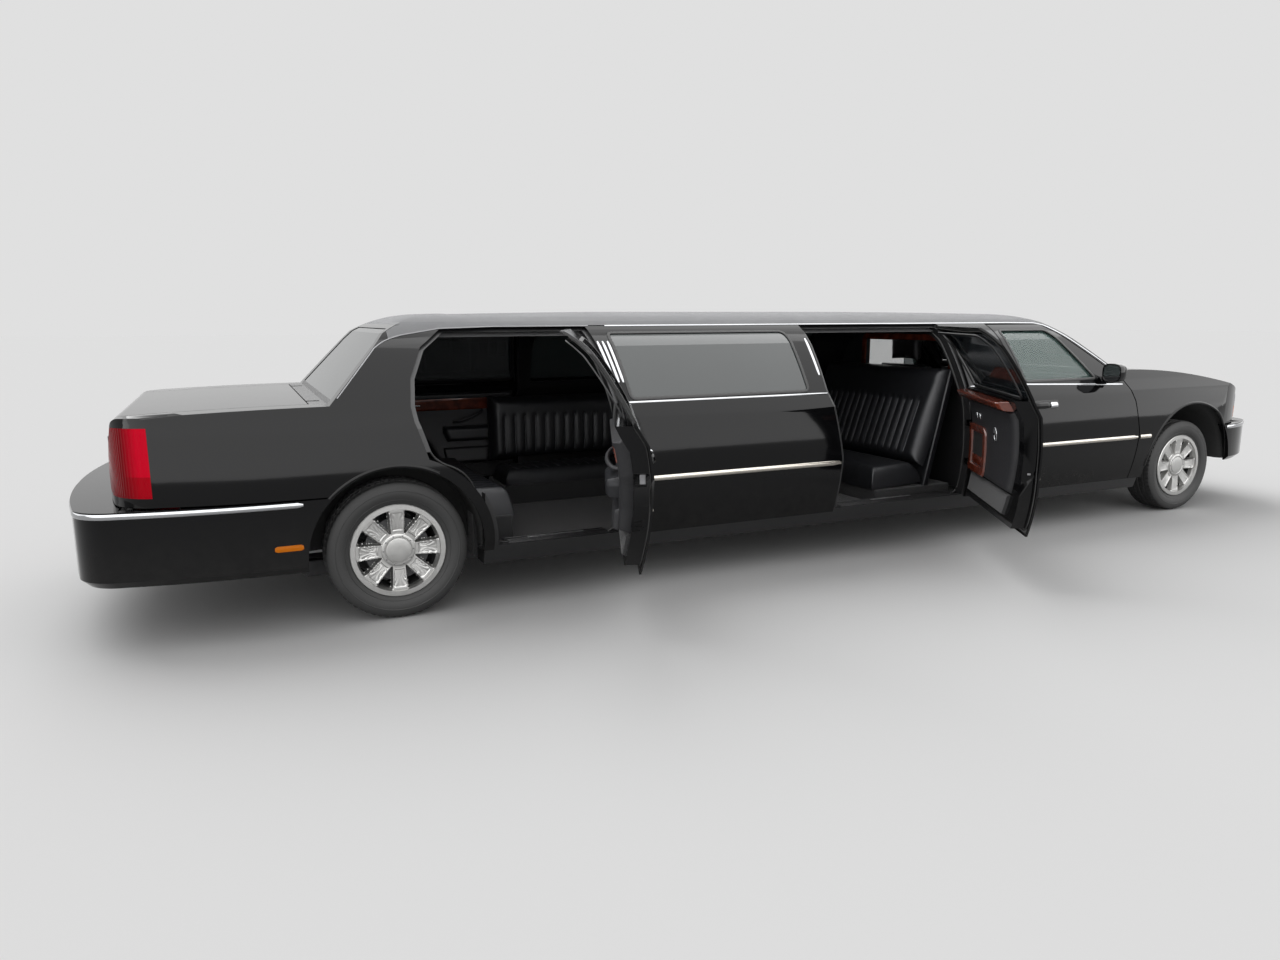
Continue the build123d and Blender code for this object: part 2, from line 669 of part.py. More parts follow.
# Fixed glass
pane_outer = body_form(3)
pane_shell = cut_away(pane_outer, body_form(3 + GLASS))
with BuildPart() as fixed_glass:
    add(keep(pane_shell, windscreen_mask, block(4400, SCREEN_LOW_X, -FAR, FAR, 1098, ROOF_Z)))
    add(keep(pane_shell, front_mask(REAR_SCREEN, DECK_FRONT_X + SEAT_GAP, 300)))
    add(keep(pane_shell, side_mask(STRETCH_WINDOW, grow=-SEAT_GAP, far=-300)))
    add(other_side(keep(pane_shell, side_mask(STRETCH_WINDOW, grow=-SEAT_GAP, far=-300))))
    add(other_side(keep(pane_shell, side_mask(LEFT_WINDOW, grow=-SEAT_GAP, far=-300))))
save(fixed_glass.part, "fixed_glass")


def door_pieces(points, window, arch=0):
    """A closed right-hand door and its glass."""
    with BuildPart() as door:
        add(keep(door_box_shell, side_mask(points, grow=-DOOR_BOX_INSET, arch=arch)))
        add(block(-400, 6000, -FAR, 0, BELT_Z + 12, ROOF_Z), mode=Mode.SUBTRACT)
        add(block(-400, 6000, -SILL_INNER_Y, 0, 0, ROOF_Z), mode=Mode.SUBTRACT)
        add(keep(door_skin_shell, side_mask(points, arch=arch, far=-400)))
        add(side_mask(window, far=-400), mode=Mode.SUBTRACT)
        for height in HINGE_HEIGHTS:
            add(hinge_strap(points, height))
    pane = keep(glass_shell, side_mask(window, grow=GLASS_LAP, far=-400))
    return door.part, pane


# Doors, and how far the open ones stand open
rear_door, rear_pane = door_pieces(REAR_DOOR, REAR_DOOR_WINDOW, DOOR_ARCH_RADIUS)
middle_door, middle_pane = door_pieces(MIDDLE_DOOR, MIDDLE_DOOR_WINDOW)
front_panel, front_pane = door_pieces(FRONT_DOOR, FRONT_DOOR_WINDOW)
with BuildPart() as mirror_shell:
    add(block(4872, 4962, -1090, -945, 1016, 1146))
    fillet(mirror_shell.edges().filter_by(Axis.Y), radius=30)
    fillet(mirror_shell.faces().sort_by(Axis.Y)[0].edges(), radius=20)
    add(block(4890, 4945, -990, -895, 1020, 1052))
with BuildPart() as front_door:
    add(front_panel)
    add(mirror_shell.part)
save(rear_door, "door_rear_right", REAR_DOOR_OPEN, hinge_x(REAR_DOOR))
save(rear_pane, "glass_rear_right", REAR_DOOR_OPEN, hinge_x(REAR_DOOR))
save(middle_door, "door_middle_right", MIDDLE_DOOR_OPEN, hinge_x(MIDDLE_DOOR))
save(middle_pane, "glass_middle_right", MIDDLE_DOOR_OPEN, hinge_x(MIDDLE_DOOR))
save_pair(front_door.part, "door_front")
save_pair(front_pane, "glass_front")
save(other_side(rear_door), "door_rear_left")
save(other_side(rear_pane), "glass_rear_left")

# Floor, frame, running gear
with BuildPart() as floor_pan:
    add(block(430, FIREWALL_X + 18, -SILL_INNER_Y, SILL_INNER_Y, FLOOR_Z - FLOOR_SHEET, FLOOR_Z))
    add(block(412, 430, -SILL_INNER_Y, SILL_INNER_Y, FLOOR_Z - FLOOR_SHEET, TRUNK_FLOOR_Z))
    add(block(-1190, 412, -600, 600, TRUNK_FLOOR_Z - 18, TRUNK_FLOOR_Z))
save(floor_pan.part, "floor_pan")

with BuildPart() as frame_rails:
    for side in (RIGHT, LEFT):
        y0, y1 = sorted((side * RAIL_Y[0], side * RAIL_Y[1]))
        add(block(-1250, 6560, y0, y1, *RAIL_Z))
    add(block(-1250, -1190, -RAIL_Y[0], RAIL_Y[0], *RAIL_Z))
    add(block(5760, 5960, -RAIL_Y[0], RAIL_Y[0], *RAIL_Z))
    add(block(6500, 6560, -RAIL_Y[0], RAIL_Y[0], *RAIL_Z))
save(frame_rails.part, "frame_rails")

with BuildPart() as engine_block:
    add(block(5420, 6150, -250, 250, 232, 820))
    add(block(5600, 5700, -470, 470, RAIL_Z[1] + SEAT_GAP, 300))
save(engine_block.part, "engine_block")

EXHAUST_Z = 180
with BuildPart() as exhaust:
    with BuildSketch(Plane.YZ.offset(-1180)):
        with Locations((-250, EXHAUST_Z)):
            Circle(28)
    extrude(amount=5500)
    with BuildSketch(Plane.YZ.offset(2500)):
        with Locations((-250, EXHAUST_Z)):
            Circle(RAIL_Z[1] - EXHAUST_Z - SEAT_GAP)
    extrude(amount=600)
save(exhaust.part, "exhaust")

AXLE_TUBE = 38
with BuildPart() as rear_axle:
    with BuildSketch(Plane.XZ.offset(-730)):
        with Locations((0, AXLE_HEIGHT)):
            Circle(AXLE_TUBE)
    extrude(amount=1460)
    with Locations((0, 0, AXLE_HEIGHT - 15)):
        Sphere(140)
    for side in (RIGHT, LEFT):
        with BuildSketch(Plane.XY.offset(AXLE_HEIGHT)):
            with Locations((0, side * 540)):
                Circle(50)
        extrude(amount=TRUNK_FLOOR_Z - 18 - SEAT_GAP - AXLE_HEIGHT)
    with BuildSketch(Plane.XZ.offset(-TRACK_REAR / 2 - 40)):
        with Locations((0, AXLE_HEIGHT)):
            Circle(HUB_RADIUS)
    extrude(amount=TRACK_REAR + 80)
    with BuildSketch(Plane.YZ.offset(60)):
        with Locations((0, 190)):
            Circle(32)
    extrude(amount=4600)
save(rear_axle.part, "rear_axle")

ARM_LOW_Z = (RAIL_Z[1] + SEAT_GAP, 256)
ARM_HIGH_Z = (560, 584)
ARM_END = 26
ARM_END_Y = -680
with BuildPart() as arms_right:
    for half, y, heights in ((150, -430, ARM_LOW_Z), (90, -500, ARM_HIGH_Z)):
        add(plan_mask([(WHEELBASE - half, y), (WHEELBASE + half, y), (WHEELBASE + ARM_END, ARM_END_Y),
                       (WHEELBASE - ARM_END, ARM_END_Y)], *heights))
    add(block(WHEELBASE - 50, WHEELBASE + 50, -560, -500, ARM_LOW_Z[0], 640))
with BuildPart() as front_suspension:
    add(arms_right.part)
    add(other_side(arms_right.part))
save(front_suspension.part, "front_suspension")

wheel_front_y = TRACK_FRONT / 2
wheel_rear_y = TRACK_REAR / 2
with BuildPart() as knuckle_right:
    with BuildSketch(Plane.XY.offset(ARM_LOW_Z[1] + SEAT_GAP)):
        with Locations((WHEELBASE, -KINGPIN_Y)):
            Circle(KINGPIN_RADIUS)
    extrude(amount=ARM_HIGH_Z[0] - ARM_LOW_Z[1] - 2 * SEAT_GAP)
    with BuildSketch(Plane.XZ.offset(KINGPIN_Y)):
        with Locations((WHEELBASE, AXLE_HEIGHT)):
            Circle(HUB_RADIUS)
    extrude(amount=wheel_front_y - KINGPIN_Y + 40)
    with BuildSketch(Plane.XZ.offset(KINGPIN_Y + 30)):
        with Locations((WHEELBASE, AXLE_HEIGHT)):
            Circle(150)
    extrude(amount=24)
save_pair(knuckle_right.part, "knuckle")


def rim(x, y):
    """Right-hand wheel: barrel, hub and flat spokes, outer face towards the car's right."""
    half = RIM_WIDTH / 2
    with BuildPart() as wheel:
        with BuildSketch(Plane.YZ):
            with BuildLine():
                Polyline((-half, 206), (-half, 233), (-half + 6, 233), (-half + 10, 212),
                         (half - 10, 212), (half - 6, 233), (half, 233), (half, 206),
                         (half - 12, 199), (-half + 12, 199), close=True)
            make_face()
        revolve(axis=Axis.Y)
        with BuildSketch(Plane.XZ.offset(half - 46)):
            Circle(CAP_RADIUS)
        extrude(amount=30)
        with BuildSketch(Plane.XZ.offset(half - 42)):
            with PolarLocations(0, SPOKES):
                with Locations((134, 0)):
                    Rectangle(150, SPOKE_WIDTH)
        extrude(amount=24)
        with BuildSketch(Plane.XZ.offset(half - 18 - GROOVE_DEPTH)):
            with PolarLocations(0, SPOKES):
                with Locations((CAP_RADIUS + 8 + GROOVE_LENGTH / 2, 0)):
                    Rectangle(GROOVE_LENGTH, GROOVE_WIDTH)
        extrude(amount=GROOVE_DEPTH, mode=Mode.SUBTRACT)
        with BuildSketch(Plane.XZ.offset(-40)):
            Circle(CAP_RADIUS)
        extrude(amount=half - 5)
        with BuildSketch(Plane.XZ.offset(-41)):
            Circle(HUB_RADIUS + SEAT_GAP)
        extrude(amount=82, mode=Mode.SUBTRACT)
    return wheel.part.translate((x, y, AXLE_HEIGHT))


def tyre(x, y):
    """Tyre seated between the rim's flanges."""
    with BuildPart() as ring:
        with BuildSketch(Plane.YZ):
            with BuildLine():
                l1 = Line((0, 212 + SEAT_GAP), (88, 212 + SEAT_GAP))
                l2 = Line(l1 @ 1, (92, 238))
                l3 = ThreePointArc(l2 @ 1, (TYRE_WIDTH / 2, 285), (104, 328))
                l4 = Line(l3 @ 1, (88, 342))
                Line(l4 @ 1, (0, TYRE_RADIUS))
                mirror(about=Plane.YZ)
            make_face()
        revolve(axis=Axis.Y)
    return ring.part.translate((x, y, AXLE_HEIGHT))


# Wheels, columns: name, x, distance of the wheel's centre from the car's centre plane
for name, x, y in (("front", WHEELBASE, wheel_front_y), ("rear", 0, wheel_rear_y)):
    save_pair(rim(x, -y), f"rim_{name}")
    save_pair(tyre(x, -y), f"tyre_{name}")

# Seats and cabin furniture, in side view, columns: x, z
REAR_SEAT = [(440, FLOOR_Z + SEAT_GAP), (700, FLOOR_Z + SEAT_GAP), (700, 540), (640, 590), (200, 560),
             (60, DECK_Z - 2), (-110, DECK_Z - 2), (0, TRUNK_FLOOR_Z + SEAT_GAP),
             (440, TRUNK_FLOOR_Z + SEAT_GAP)]
MIDDLE_SEAT = [(3110, FLOOR_Z + SEAT_GAP), (3110, 470), (3440, 500), (3690, 1160), (3800, 1160),
               (3800, FLOOR_Z + SEAT_GAP)]
FRONT_SEAT = [(4420, FLOOR_Z + SEAT_GAP), (4930, FLOOR_Z + SEAT_GAP), (4960, 520), (4900, 560),
              (4520, 520), (4360, 1110), (4340, 1320), (4260, 1320), (4240, 1100), (4380, 400)]
save(side_mask(REAR_SEAT, near=-640, far=640), "rear_seat")
save(side_mask(MIDDLE_SEAT, near=-680, far=680), "middle_seat")
with BuildPart() as front_seats:
    add(side_mask(FRONT_SEAT, near=-650, far=-120))
    add(side_mask(FRONT_SEAT, near=120, far=650))
save(front_seats.part, "front_seats")
with BuildPart() as side_seat:
    add(block(900, 2600, 330, 779, FLOOR_Z + SEAT_GAP, 480))
    add(block(900, 2600, 660, 779, FLOOR_Z + SEAT_GAP, 960))
save(side_seat.part, "side_seat")
save(block(1400, 2450, -770, -480, FLOOR_Z + SEAT_GAP, 900), "bar_cabinet")
with BuildPart() as partition:
    add(keep(wall_form, block(3930, 3960, -740, 740, FLOOR_Z + SEAT_GAP, 1380)))
    add(block(3900, 4000, -450, 450, 1000, 1300), mode=Mode.SUBTRACT)
save(partition.part, "partition")
WHEEL_TILT = 25
COLUMN_POINT = (4840, 370, 905)
COLUMN_RADIUS = 22
COLUMN_LENGTH = 320
COLUMN = Plane(COLUMN_POINT, x_dir=(0, 1, 0), z_dir=(-cos(radians(WHEEL_TILT)), 0, sin(radians(WHEEL_TILT))))
with BuildPart() as dashboard:
    add(block(5000, FIREWALL_X - SEAT_GAP, -760, 760, 700, LEDGE_Z - 12 - SEAT_GAP))
    add(block(4990, COWL_X - SEAT_GAP, -740, 740, 900, 1042))
    with BuildSketch(COLUMN):
        Circle(COLUMN_RADIUS + SEAT_GAP)
    extrude(amount=-COLUMN_LENGTH - 5, mode=Mode.SUBTRACT)
save(dashboard.part, "dashboard")
with BuildPart() as steering_wheel:
    with Locations(COLUMN):
        Torus(185, 14)
        Cylinder(45, 30)
        Box(350, 36, 14)
    with BuildSketch(COLUMN):
        Circle(COLUMN_RADIUS)
    extrude(amount=-COLUMN_LENGTH)
save(steering_wheel.part, "steering_wheel")
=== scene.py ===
"""Looks of a stretched five-door limousine saloon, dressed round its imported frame.

Car frame: x runs forward from the rear axle, y to the car's left from its centre plane, z up from the ground, in
metres.  Pieces are worked out there with the doors closed, and ``carried`` takes them to where they stand.
"""
from __future__ import annotations

import json
import logging
import math
from contextlib import contextmanager
from dataclasses import dataclass, field
from enum import Enum
from typing import Iterator, Sequence

import bmesh
import bpy
import numpy as np
from mathutils import Matrix, Vector
from mathutils.bvhtree import BVHTree

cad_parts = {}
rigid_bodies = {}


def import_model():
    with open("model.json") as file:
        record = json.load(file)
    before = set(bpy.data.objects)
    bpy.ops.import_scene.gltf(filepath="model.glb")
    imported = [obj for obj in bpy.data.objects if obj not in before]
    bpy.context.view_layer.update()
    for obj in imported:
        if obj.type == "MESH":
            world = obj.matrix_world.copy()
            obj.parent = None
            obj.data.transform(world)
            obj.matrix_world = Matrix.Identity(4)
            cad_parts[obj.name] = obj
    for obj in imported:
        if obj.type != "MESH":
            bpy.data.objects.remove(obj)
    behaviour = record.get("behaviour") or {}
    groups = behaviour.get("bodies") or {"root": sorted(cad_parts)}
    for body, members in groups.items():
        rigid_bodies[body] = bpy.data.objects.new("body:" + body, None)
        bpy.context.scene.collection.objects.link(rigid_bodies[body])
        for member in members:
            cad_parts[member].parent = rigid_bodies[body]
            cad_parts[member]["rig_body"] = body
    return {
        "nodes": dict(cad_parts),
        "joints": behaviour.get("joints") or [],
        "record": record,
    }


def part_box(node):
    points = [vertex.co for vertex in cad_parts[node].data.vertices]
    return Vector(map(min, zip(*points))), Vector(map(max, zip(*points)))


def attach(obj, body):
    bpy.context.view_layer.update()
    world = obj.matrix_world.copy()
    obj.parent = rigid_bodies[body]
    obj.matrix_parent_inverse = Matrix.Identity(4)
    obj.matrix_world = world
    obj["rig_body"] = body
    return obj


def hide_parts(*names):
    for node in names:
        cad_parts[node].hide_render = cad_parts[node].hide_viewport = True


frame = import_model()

Array = np.ndarray
Colour = tuple[float, float, float]
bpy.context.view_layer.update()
LOG = logging.getLogger("limousine")
JOINTS = {joint["name"]: joint for joint in frame["joints"]}
SLOTS = {part["node"]: part["material_slot"] for part in frame["record"]["subparts"]}
# points closer together than this are merged
MERGE = 2e-5
# no vector is divided by less than this
TINY = 1e-9


def middle(node: str) -> Array:
    """Middle of a CAD node's box."""
    low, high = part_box(node)
    return (np.array(low) + np.array(high)) / 2


ORIGIN = (middle("rim_rear_right") + middle("rim_rear_left")) / 2 * np.array([1, 1, 0])
WHEELBASE = float(middle("rim_front_left")[0] - ORIGIN[0])
AXLE_HEIGHT = float(middle("rim_rear_left")[2])


# Shader graphs


class Value:
    """A number in a shader graph, so that its maths can be written as a Python expression."""

    def __init__(self, graph: Tree, socket: bpy.types.NodeSocket) -> None:
        """Wraps a socket of a graph."""
        self.graph = graph
        self.socket = socket

    def _math(self, operation: str, first: object, second: object = 0.0) -> Value:
        """Adds one Math node.

        Args:
            operation: the node's operation.
            first: a number or a Value.
            second: a number or a Value.

        Returns:
            The node's result.
        """
        return self.graph.node("ShaderNodeMath", {"operation": operation}, {0: first, 1: second}).out(0)

    def __add__(self, other: object) -> Value:
        """Sum."""
        return self._math("ADD", self, other)

    def __sub__(self, other: object) -> Value:
        """Difference."""
        return self._math("SUBTRACT", self, other)

    def __rsub__(self, other: object) -> Value:
        """Difference, the other way round."""
        return self._math("SUBTRACT", other, self)

    def __mul__(self, other: object) -> Value:
        """Product."""
        return self._math("MULTIPLY", self, other)

    def __pow__(self, other: object) -> Value:
        """Power."""
        return self._math("POWER", self, other)

    def __gt__(self, other: object) -> Value:
        """One where this is the larger."""
        return self._math("GREATER_THAN", self, other)

    def __lt__(self, other: object) -> Value:
        """One where this is the smaller."""
        return self._math("LESS_THAN", self, other)

    __radd__ = __add__
    __rmul__ = __mul__

    def sine(self) -> Value:
        """Sine."""
        return self._math("SINE", self)

    def absolute(self) -> Value:
        """Size without sign."""
        return self._math("ABSOLUTE", self)

    def wave(self, pitch: float) -> Value:
        """Smooth ribs across this length: 0 to 1 and back in each pitch."""
        return (self * (math.tau / pitch)).sine() * 0.5 + 0.5


class Node:
    """A node of a graph, with its outputs as values."""

    def __init__(self, graph: Tree, node: bpy.types.Node) -> None:
        """Wraps a node."""
        self.graph = graph
        self.node = node

    def out(self, which: int | str) -> Value:
        """One of the node's outputs."""
        return Value(self.graph, self.node.outputs[which])


class Tree:
    """A node tree, to which nodes are added together with their settings and links."""

    def __init__(self, tree: bpy.types.NodeTree) -> None:
        """Wraps a tree."""
        self.tree = tree

    def feed(self, socket: bpy.types.NodeSocket, value: object) -> None:
        """Links a value to a socket, or sets the socket to a plain one; a colour gets its fourth part."""
        if isinstance(value, Value):
            self.tree.links.new(value.socket, socket)
        elif socket.type == "RGBA" and len(value) == 3:
            socket.default_value = (*value, 1)
        else:
            socket.default_value = value

    def node(self, kind: str, settings: dict | None = None, sockets: dict | None = None) -> Node:
        """Adds a node.

        Args:
            kind: the node's type.
            settings: its properties; "stops" gives a colour ramp's (place, colour) pairs.
            sockets: values or links of its inputs, by name or number.

        Returns:
            The new node.
        """
        node = self.tree.nodes.new(kind)
        for key, value in (settings or {}).items():
            if key == "stops":
                ramp = node.color_ramp.elements
                while len(ramp) < len(value):
                    ramp.new(1.0)
                for element, (place, colour) in zip(ramp, value):
                    element.position = place
                    element.color = (*colour, 1)
            else:
                setattr(node, key, value)
        for key, value in (sockets or {}).items():
            self.feed(node.inputs[key], value)
        return Node(self, node)


class Graph(Tree):
    """A material's node graph, ending in one Principled shader."""

    def __init__(self, name: str) -> None:
        """Makes an empty material with its shader."""
        self.material = bpy.data.materials.new(name)
        self.material.use_nodes = True
        super().__init__(self.material.node_tree)
        self.tree.nodes.clear()
        self.shader = self.node("ShaderNodeBsdfPrincipled")
        self.node("ShaderNodeOutputMaterial", {}, {"Surface": self.shader.out(0)})

    def set(self, **sockets: object) -> None:
        """Sets or links the shader's sockets; an underscore stands for a space."""
        for key, value in sockets.items():
            self.feed(self.shader.node.inputs[key.replace("_", " ")], value)

    def place(self) -> Value:
        """Object coordinates, which are the model's own frame."""
        return self.node("ShaderNodeTexCoord").out("Object")

    def axes(self, vector: Value) -> tuple[Value, Value, Value]:
        """The three parts of a vector."""
        split = self.node("ShaderNodeSeparateXYZ", {}, {0: vector})
        return split.out(0), split.out(1), split.out(2)

    def noise(self, scale: float, detail: float = 3.0, rough: float = 0.55) -> Value:
        """Noise of a given scale, from 0 to 1."""
        sockets = {"Vector": self.place(), "Scale": scale, "Detail": detail, "Roughness": rough}
        return self.node("ShaderNodeTexNoise", {}, sockets).out(0)

    def cells(self, scale: float) -> Value:
        """Distance from the middles of small cells."""
        return self.node("ShaderNodeTexVoronoi", {}, {"Vector": self.place(), "Scale": scale}).out(0)

    def mix(self, share: Value, low: Colour, high: Colour) -> Value:
        """A colour between two, by a share."""
        stops = [(0.0, low), (1.0, high)]
        return self.node("ShaderNodeValToRGB", {"stops": stops}, {0: share}).out(0)

    def over(self, share: Value, low: Value | Colour, high: Value | Colour) -> Value:
        """Like mix, for colours that are values themselves."""
        return self.node("ShaderNodeMix", {"data_type": "RGBA"}, {0: share, 6: low, 7: high}).out(2)

    def bump(self, height: Value, distance: float, strength: float = 1.0) -> None:
        """Bumps the surface by a height."""
        sockets = {"Height": height, "Distance": distance, "Strength": strength}
        self.set(Normal=self.node("ShaderNodeBump", {}, sockets).out(0))


def scaled(colour: Colour, share: float) -> Colour:
    """A colour times a share, no part above 1."""
    return tuple(min(1.0, part * share) for part in colour)


@dataclass(frozen=True)
class Finish:
    """A plain finish: a colour with faint variation, its roughness and a fine bump."""

    name: str
    colour: Colour
    roughness: float = 0.5
    metallic: float = 0.0
    spread: float = 0.15
    grain: float = 0.0

    def material(self) -> bpy.types.Material:
        """The finish's material, made once."""
        made = bpy.data.materials.get(self.name)
        if made:
            return made
        graph = Graph(self.name)
        graph.set(Base_Color=self.colour, Roughness=self.roughness, Metallic=self.metallic)
        self.detail(graph)
        return graph.material

    def varied(self, graph: Graph, scale: float, spread: float) -> Value:
        """Base colour that varies a little round the finish's own.

        Args:
            graph: the material's graph.
            scale: scale of the noise.
            spread: share of the colour by which it varies.

        Returns:
            The colour.
        """
        return graph.mix(graph.noise(scale), scaled(self.colour, 1 - spread), scaled(self.colour, 1 + spread))

    def detail(self, graph: Graph) -> None:
        """Adds what the finish shows close up."""
        graph.set(Base_Color=self.varied(graph, 30, self.spread),
                  Roughness=graph.noise(60) * 0.15 + (self.roughness - 0.07))
        if self.grain:
            graph.bump(graph.noise(900, 2), self.grain)


@dataclass(frozen=True)
class Paint(Finish):
    """Glossy paint under a clear coat, with faint ripple, and road dust low down."""

    dust_top: float = 0.6
    dust_colour: Colour = (0.05, 0.048, 0.045)

    def detail(self, graph: Graph) -> None:
        """Dust D = 1.4 n (t - z) below its top t lightens and dulls the coat."""
        z = graph.axes(graph.place())[2]
        low = (self.dust_top - z) * (z < self.dust_top) * 1.4
        dust = graph.noise(14, 6, 0.65) * low
        graph.set(Base_Color=graph.mix(dust, self.colour, self.dust_colour),
                  Roughness=dust * 0.25 + graph.noise(3) * 0.05 + self.roughness,
                  Coat_Weight=0.05, Coat_Roughness=0.02, Specular_IOR_Level=0.16)
        graph.bump(graph.noise(5, 2), 0.0006, 0.35)


@dataclass(frozen=True)
class Vinyl(Finish):
    """Padded roof covering with a pebbled grain."""

    def detail(self, graph: Graph) -> None:
        """Grain from small cells, soft lighter patches where it has weathered."""
        graph.set(Base_Color=self.varied(graph, 2.5, 0.3), Roughness=graph.noise(8) * 0.14 + self.roughness)
        graph.bump(graph.cells(420), 0.0007, 0.8)


@dataclass(frozen=True)
class Leather(Finish):
    """Smooth upholstery leather with pores and soft wrinkles."""

    def detail(self, graph: Graph) -> None:
        """Pores and wrinkles as bumps, worn places glossier."""
        worn = graph.noise(5, 4)
        graph.set(Base_Color=self.varied(graph, 9, 0.3), Roughness=worn * 0.22 + self.roughness - 0.12)
        graph.bump(graph.cells(600) * 0.3 + graph.noise(26, 4), 0.0016, 0.6)


@dataclass(frozen=True)
class Wood(Finish):
    """Polished burr veneer under lacquer."""

    def detail(self, graph: Graph) -> None:
        """Figure F = sin(34 (x + y) + 20 z + 22 n) between a deep red brown and a brighter one."""
        x, y, z = graph.axes(graph.place())
        swirl = graph.noise(7, 5, 0.6)
        figure = ((x + y) * 34 + z * 20 + swirl * 22).sine() * 0.5 + 0.5
        fine = graph.noise(90, 4, 0.7)
        graph.set(Base_Color=graph.mix(figure * 0.65 + fine * 0.35, scaled(self.colour, 0.45), self.colour),
                  Roughness=self.roughness, Coat_Weight=0.7, Coat_Roughness=0.04)


@dataclass(frozen=True)
class Carpet(Finish):
    """Cut pile carpet."""

    def detail(self, graph: Graph) -> None:
        """Tufts as a strong fine bump, with a patchy nap."""
        tufts = graph.noise(520, 2, 0.7)
        nap = tufts * 0.6 + graph.noise(7) * 0.4
        graph.set(Base_Color=graph.mix(nap, scaled(self.colour, 0.4), scaled(self.colour, 1.7)), Sheen_Weight=0.3)
        graph.bump(tufts, 0.003, 1.0)


@dataclass(frozen=True)
class Rubber(Finish):
    """Tyre rubber, greyer with dust in its tread."""

    def detail(self, graph: Graph) -> None:
        """Dust between the finish's black and a brown grey."""
        dust = graph.noise(11, 6, 0.7)
        graph.set(Base_Color=graph.mix(dust, self.colour, scaled(self.colour, 2.6)),
                  Roughness=dust * 0.2 + self.roughness - 0.1)
        graph.bump(graph.noise(350, 3), 0.0005, 0.5)


@dataclass(frozen=True)
class Lens(Finish):
    """Lamp lens with moulded ribs, a second colour below a height, and a darker one behind its front edge."""

    second: Colour = (0.6, 0.2, 0.03)
    height: float = 0.0
    edge: float = -9.0
    pitch: float = 0.011

    def detail(self, graph: Graph) -> None:
        """Ribs from a wave across the lens; the second colour fills what lies below the height."""
        x, y, z = graph.axes(graph.place())
        rib = y.wave(self.pitch)
        below = (self.height - z) * 400 + 0.5
        inward = (self.edge - x) * 16
        colour = graph.over(inward, graph.mix(below, self.colour, self.second), scaled(self.second, 0.45))
        graph.set(Base_Color=colour, Roughness=rib * 0.08 + self.roughness, Specular_IOR_Level=0.05)
        graph.bump(rib + graph.noise(4) * 0.3, 0.0012, 1.0)


@dataclass(frozen=True)
class HeadLens(Finish):
    """Head lamp seen through its clear cover: two round bowls with bulbs and painted reflections, and an amber corner
    low down outboard.
    """

    # distances of the bowls' middles from the centre plane
    bowls: tuple = (0.605, 0.468)
    height: float = 0.768
    radius: float = 0.056
    # distance from the centre plane at which the side wing starts, and height up to which it is amber
    wing_off: float = 0.720
    amber_top: float = 0.770
    # half the width of a bowl's bright rim, and the bulb's share of its radius
    rim: float = 0.004
    bulb: float = 0.24

    def detail(self, graph: Graph) -> None:
        """With d the distance from a bowl's middle: a painted reflection inside the bowl, pale grey in its middle and
        darker towards d = r, a bright rim at d = r, a bulb at d < r / 4, dark glass outside.
        """
        _, y, z = graph.axes(graph.place())
        off = (y - float(ORIGIN[1])).absolute()
        colour = (0.085, 0.088, 0.095)
        for bowl in self.bowls:
            far = ((off - bowl) ** 2 + (z - self.height) ** 2) ** 0.5
            # painted reflection in the bowl: pale grey in its middle, darker towards its rim
            shade = graph.mix(far * (1 / self.radius), (0.62, 0.63, 0.66), (0.16, 0.165, 0.18))
            colour = graph.over(far < self.radius, colour, shade)
            colour = graph.over((far - self.radius).absolute() < self.rim, colour, (0.55, 0.56, 0.58))
            colour = graph.over(far < self.radius * self.bulb, colour, (0.05, 0.05, 0.06))
        corner = graph.over(z < self.amber_top, (0.50, 0.51, 0.53), (0.80, 0.17, 0.008))
        colour = graph.over(off > self.wing_off, colour, corner)
        graph.set(Base_Color=colour, Roughness=self.roughness, Coat_Weight=0.3, Coat_Roughness=0.03)
        graph.bump(y.wave(0.016) * 0.4 + graph.noise(4) * 0.3, 0.001, 0.5)


@dataclass(frozen=True)
class Glass(Finish):
    """Tinted glass."""

    alpha: float = 0.5
    film: float = 0.6

    def detail(self, graph: Graph) -> None:
        """Clear glass over the tint, slightly dusty; a reflective film raises its specular level."""
        graph.set(Base_Color=self.varied(graph, 1.5, 0.15), Roughness=graph.noise(12) * 0.05 + self.roughness,
                  Alpha=self.alpha, Coat_Weight=0.1, Specular_IOR_Level=self.film)
        graph.material.surface_render_method = "BLENDED"


PAINT = Paint("paint_black", (0.0045, 0.0045, 0.0052), 0.05)
SATIN = Finish("satin_black", (0.012, 0.012, 0.013), 0.42, grain=0.0002)
# underbody and wheelhouse black, also used as painted shade inside the rims' barrels
SHADOW = Finish("underbody_black_and_painted_shade", (0.008, 0.008, 0.008), 0.85, grain=0.001)
VINYL = Vinyl("vinyl_grey", (0.080, 0.082, 0.087), 0.50)
CHROME = Finish("chrome_bright", (0.35, 0.355, 0.365), 0.12, 1.0, 0.04)
CHAMPAGNE = Finish("moulding_champagne", (0.42, 0.395, 0.355), 0.24, 1.0, 0.06)
GLASS_DARK = Glass("glass_dark", (0.045, 0.056, 0.056), 0.02, alpha=0.965, film=0.5)
GLASS_CLEAR = Glass("glass_clear", (0.20, 0.32, 0.29), 0.02, alpha=0.32)
GLASS_REAR = Glass("glass_rear_cabin", (0.020, 0.026, 0.030), 0.02, alpha=0.93, film=0.7)
MIRROR = Finish("mirror_glass", (0.16, 0.165, 0.17), 0.09, 1.0, 0.02)
RUBBER = Rubber("rubber_tyre", (0.0095, 0.0095, 0.0095), 0.68)
SEAL = Finish("rubber_seal", (0.012, 0.012, 0.012), 0.6, grain=0.0003)
ALLOY = Finish("alloy_cast", (0.40, 0.398, 0.39), 0.34, 0.85, 0.10, 0.0001)
SCUFFED = Finish("scuff_plate", (0.42, 0.42, 0.43), 0.34, 1.0, 0.12, 0.0002)
LEATHER = Leather("leather_black", (0.016, 0.017, 0.021), 0.44)
PIPING = Leather("piping_grey", (0.15, 0.155, 0.17), 0.5)
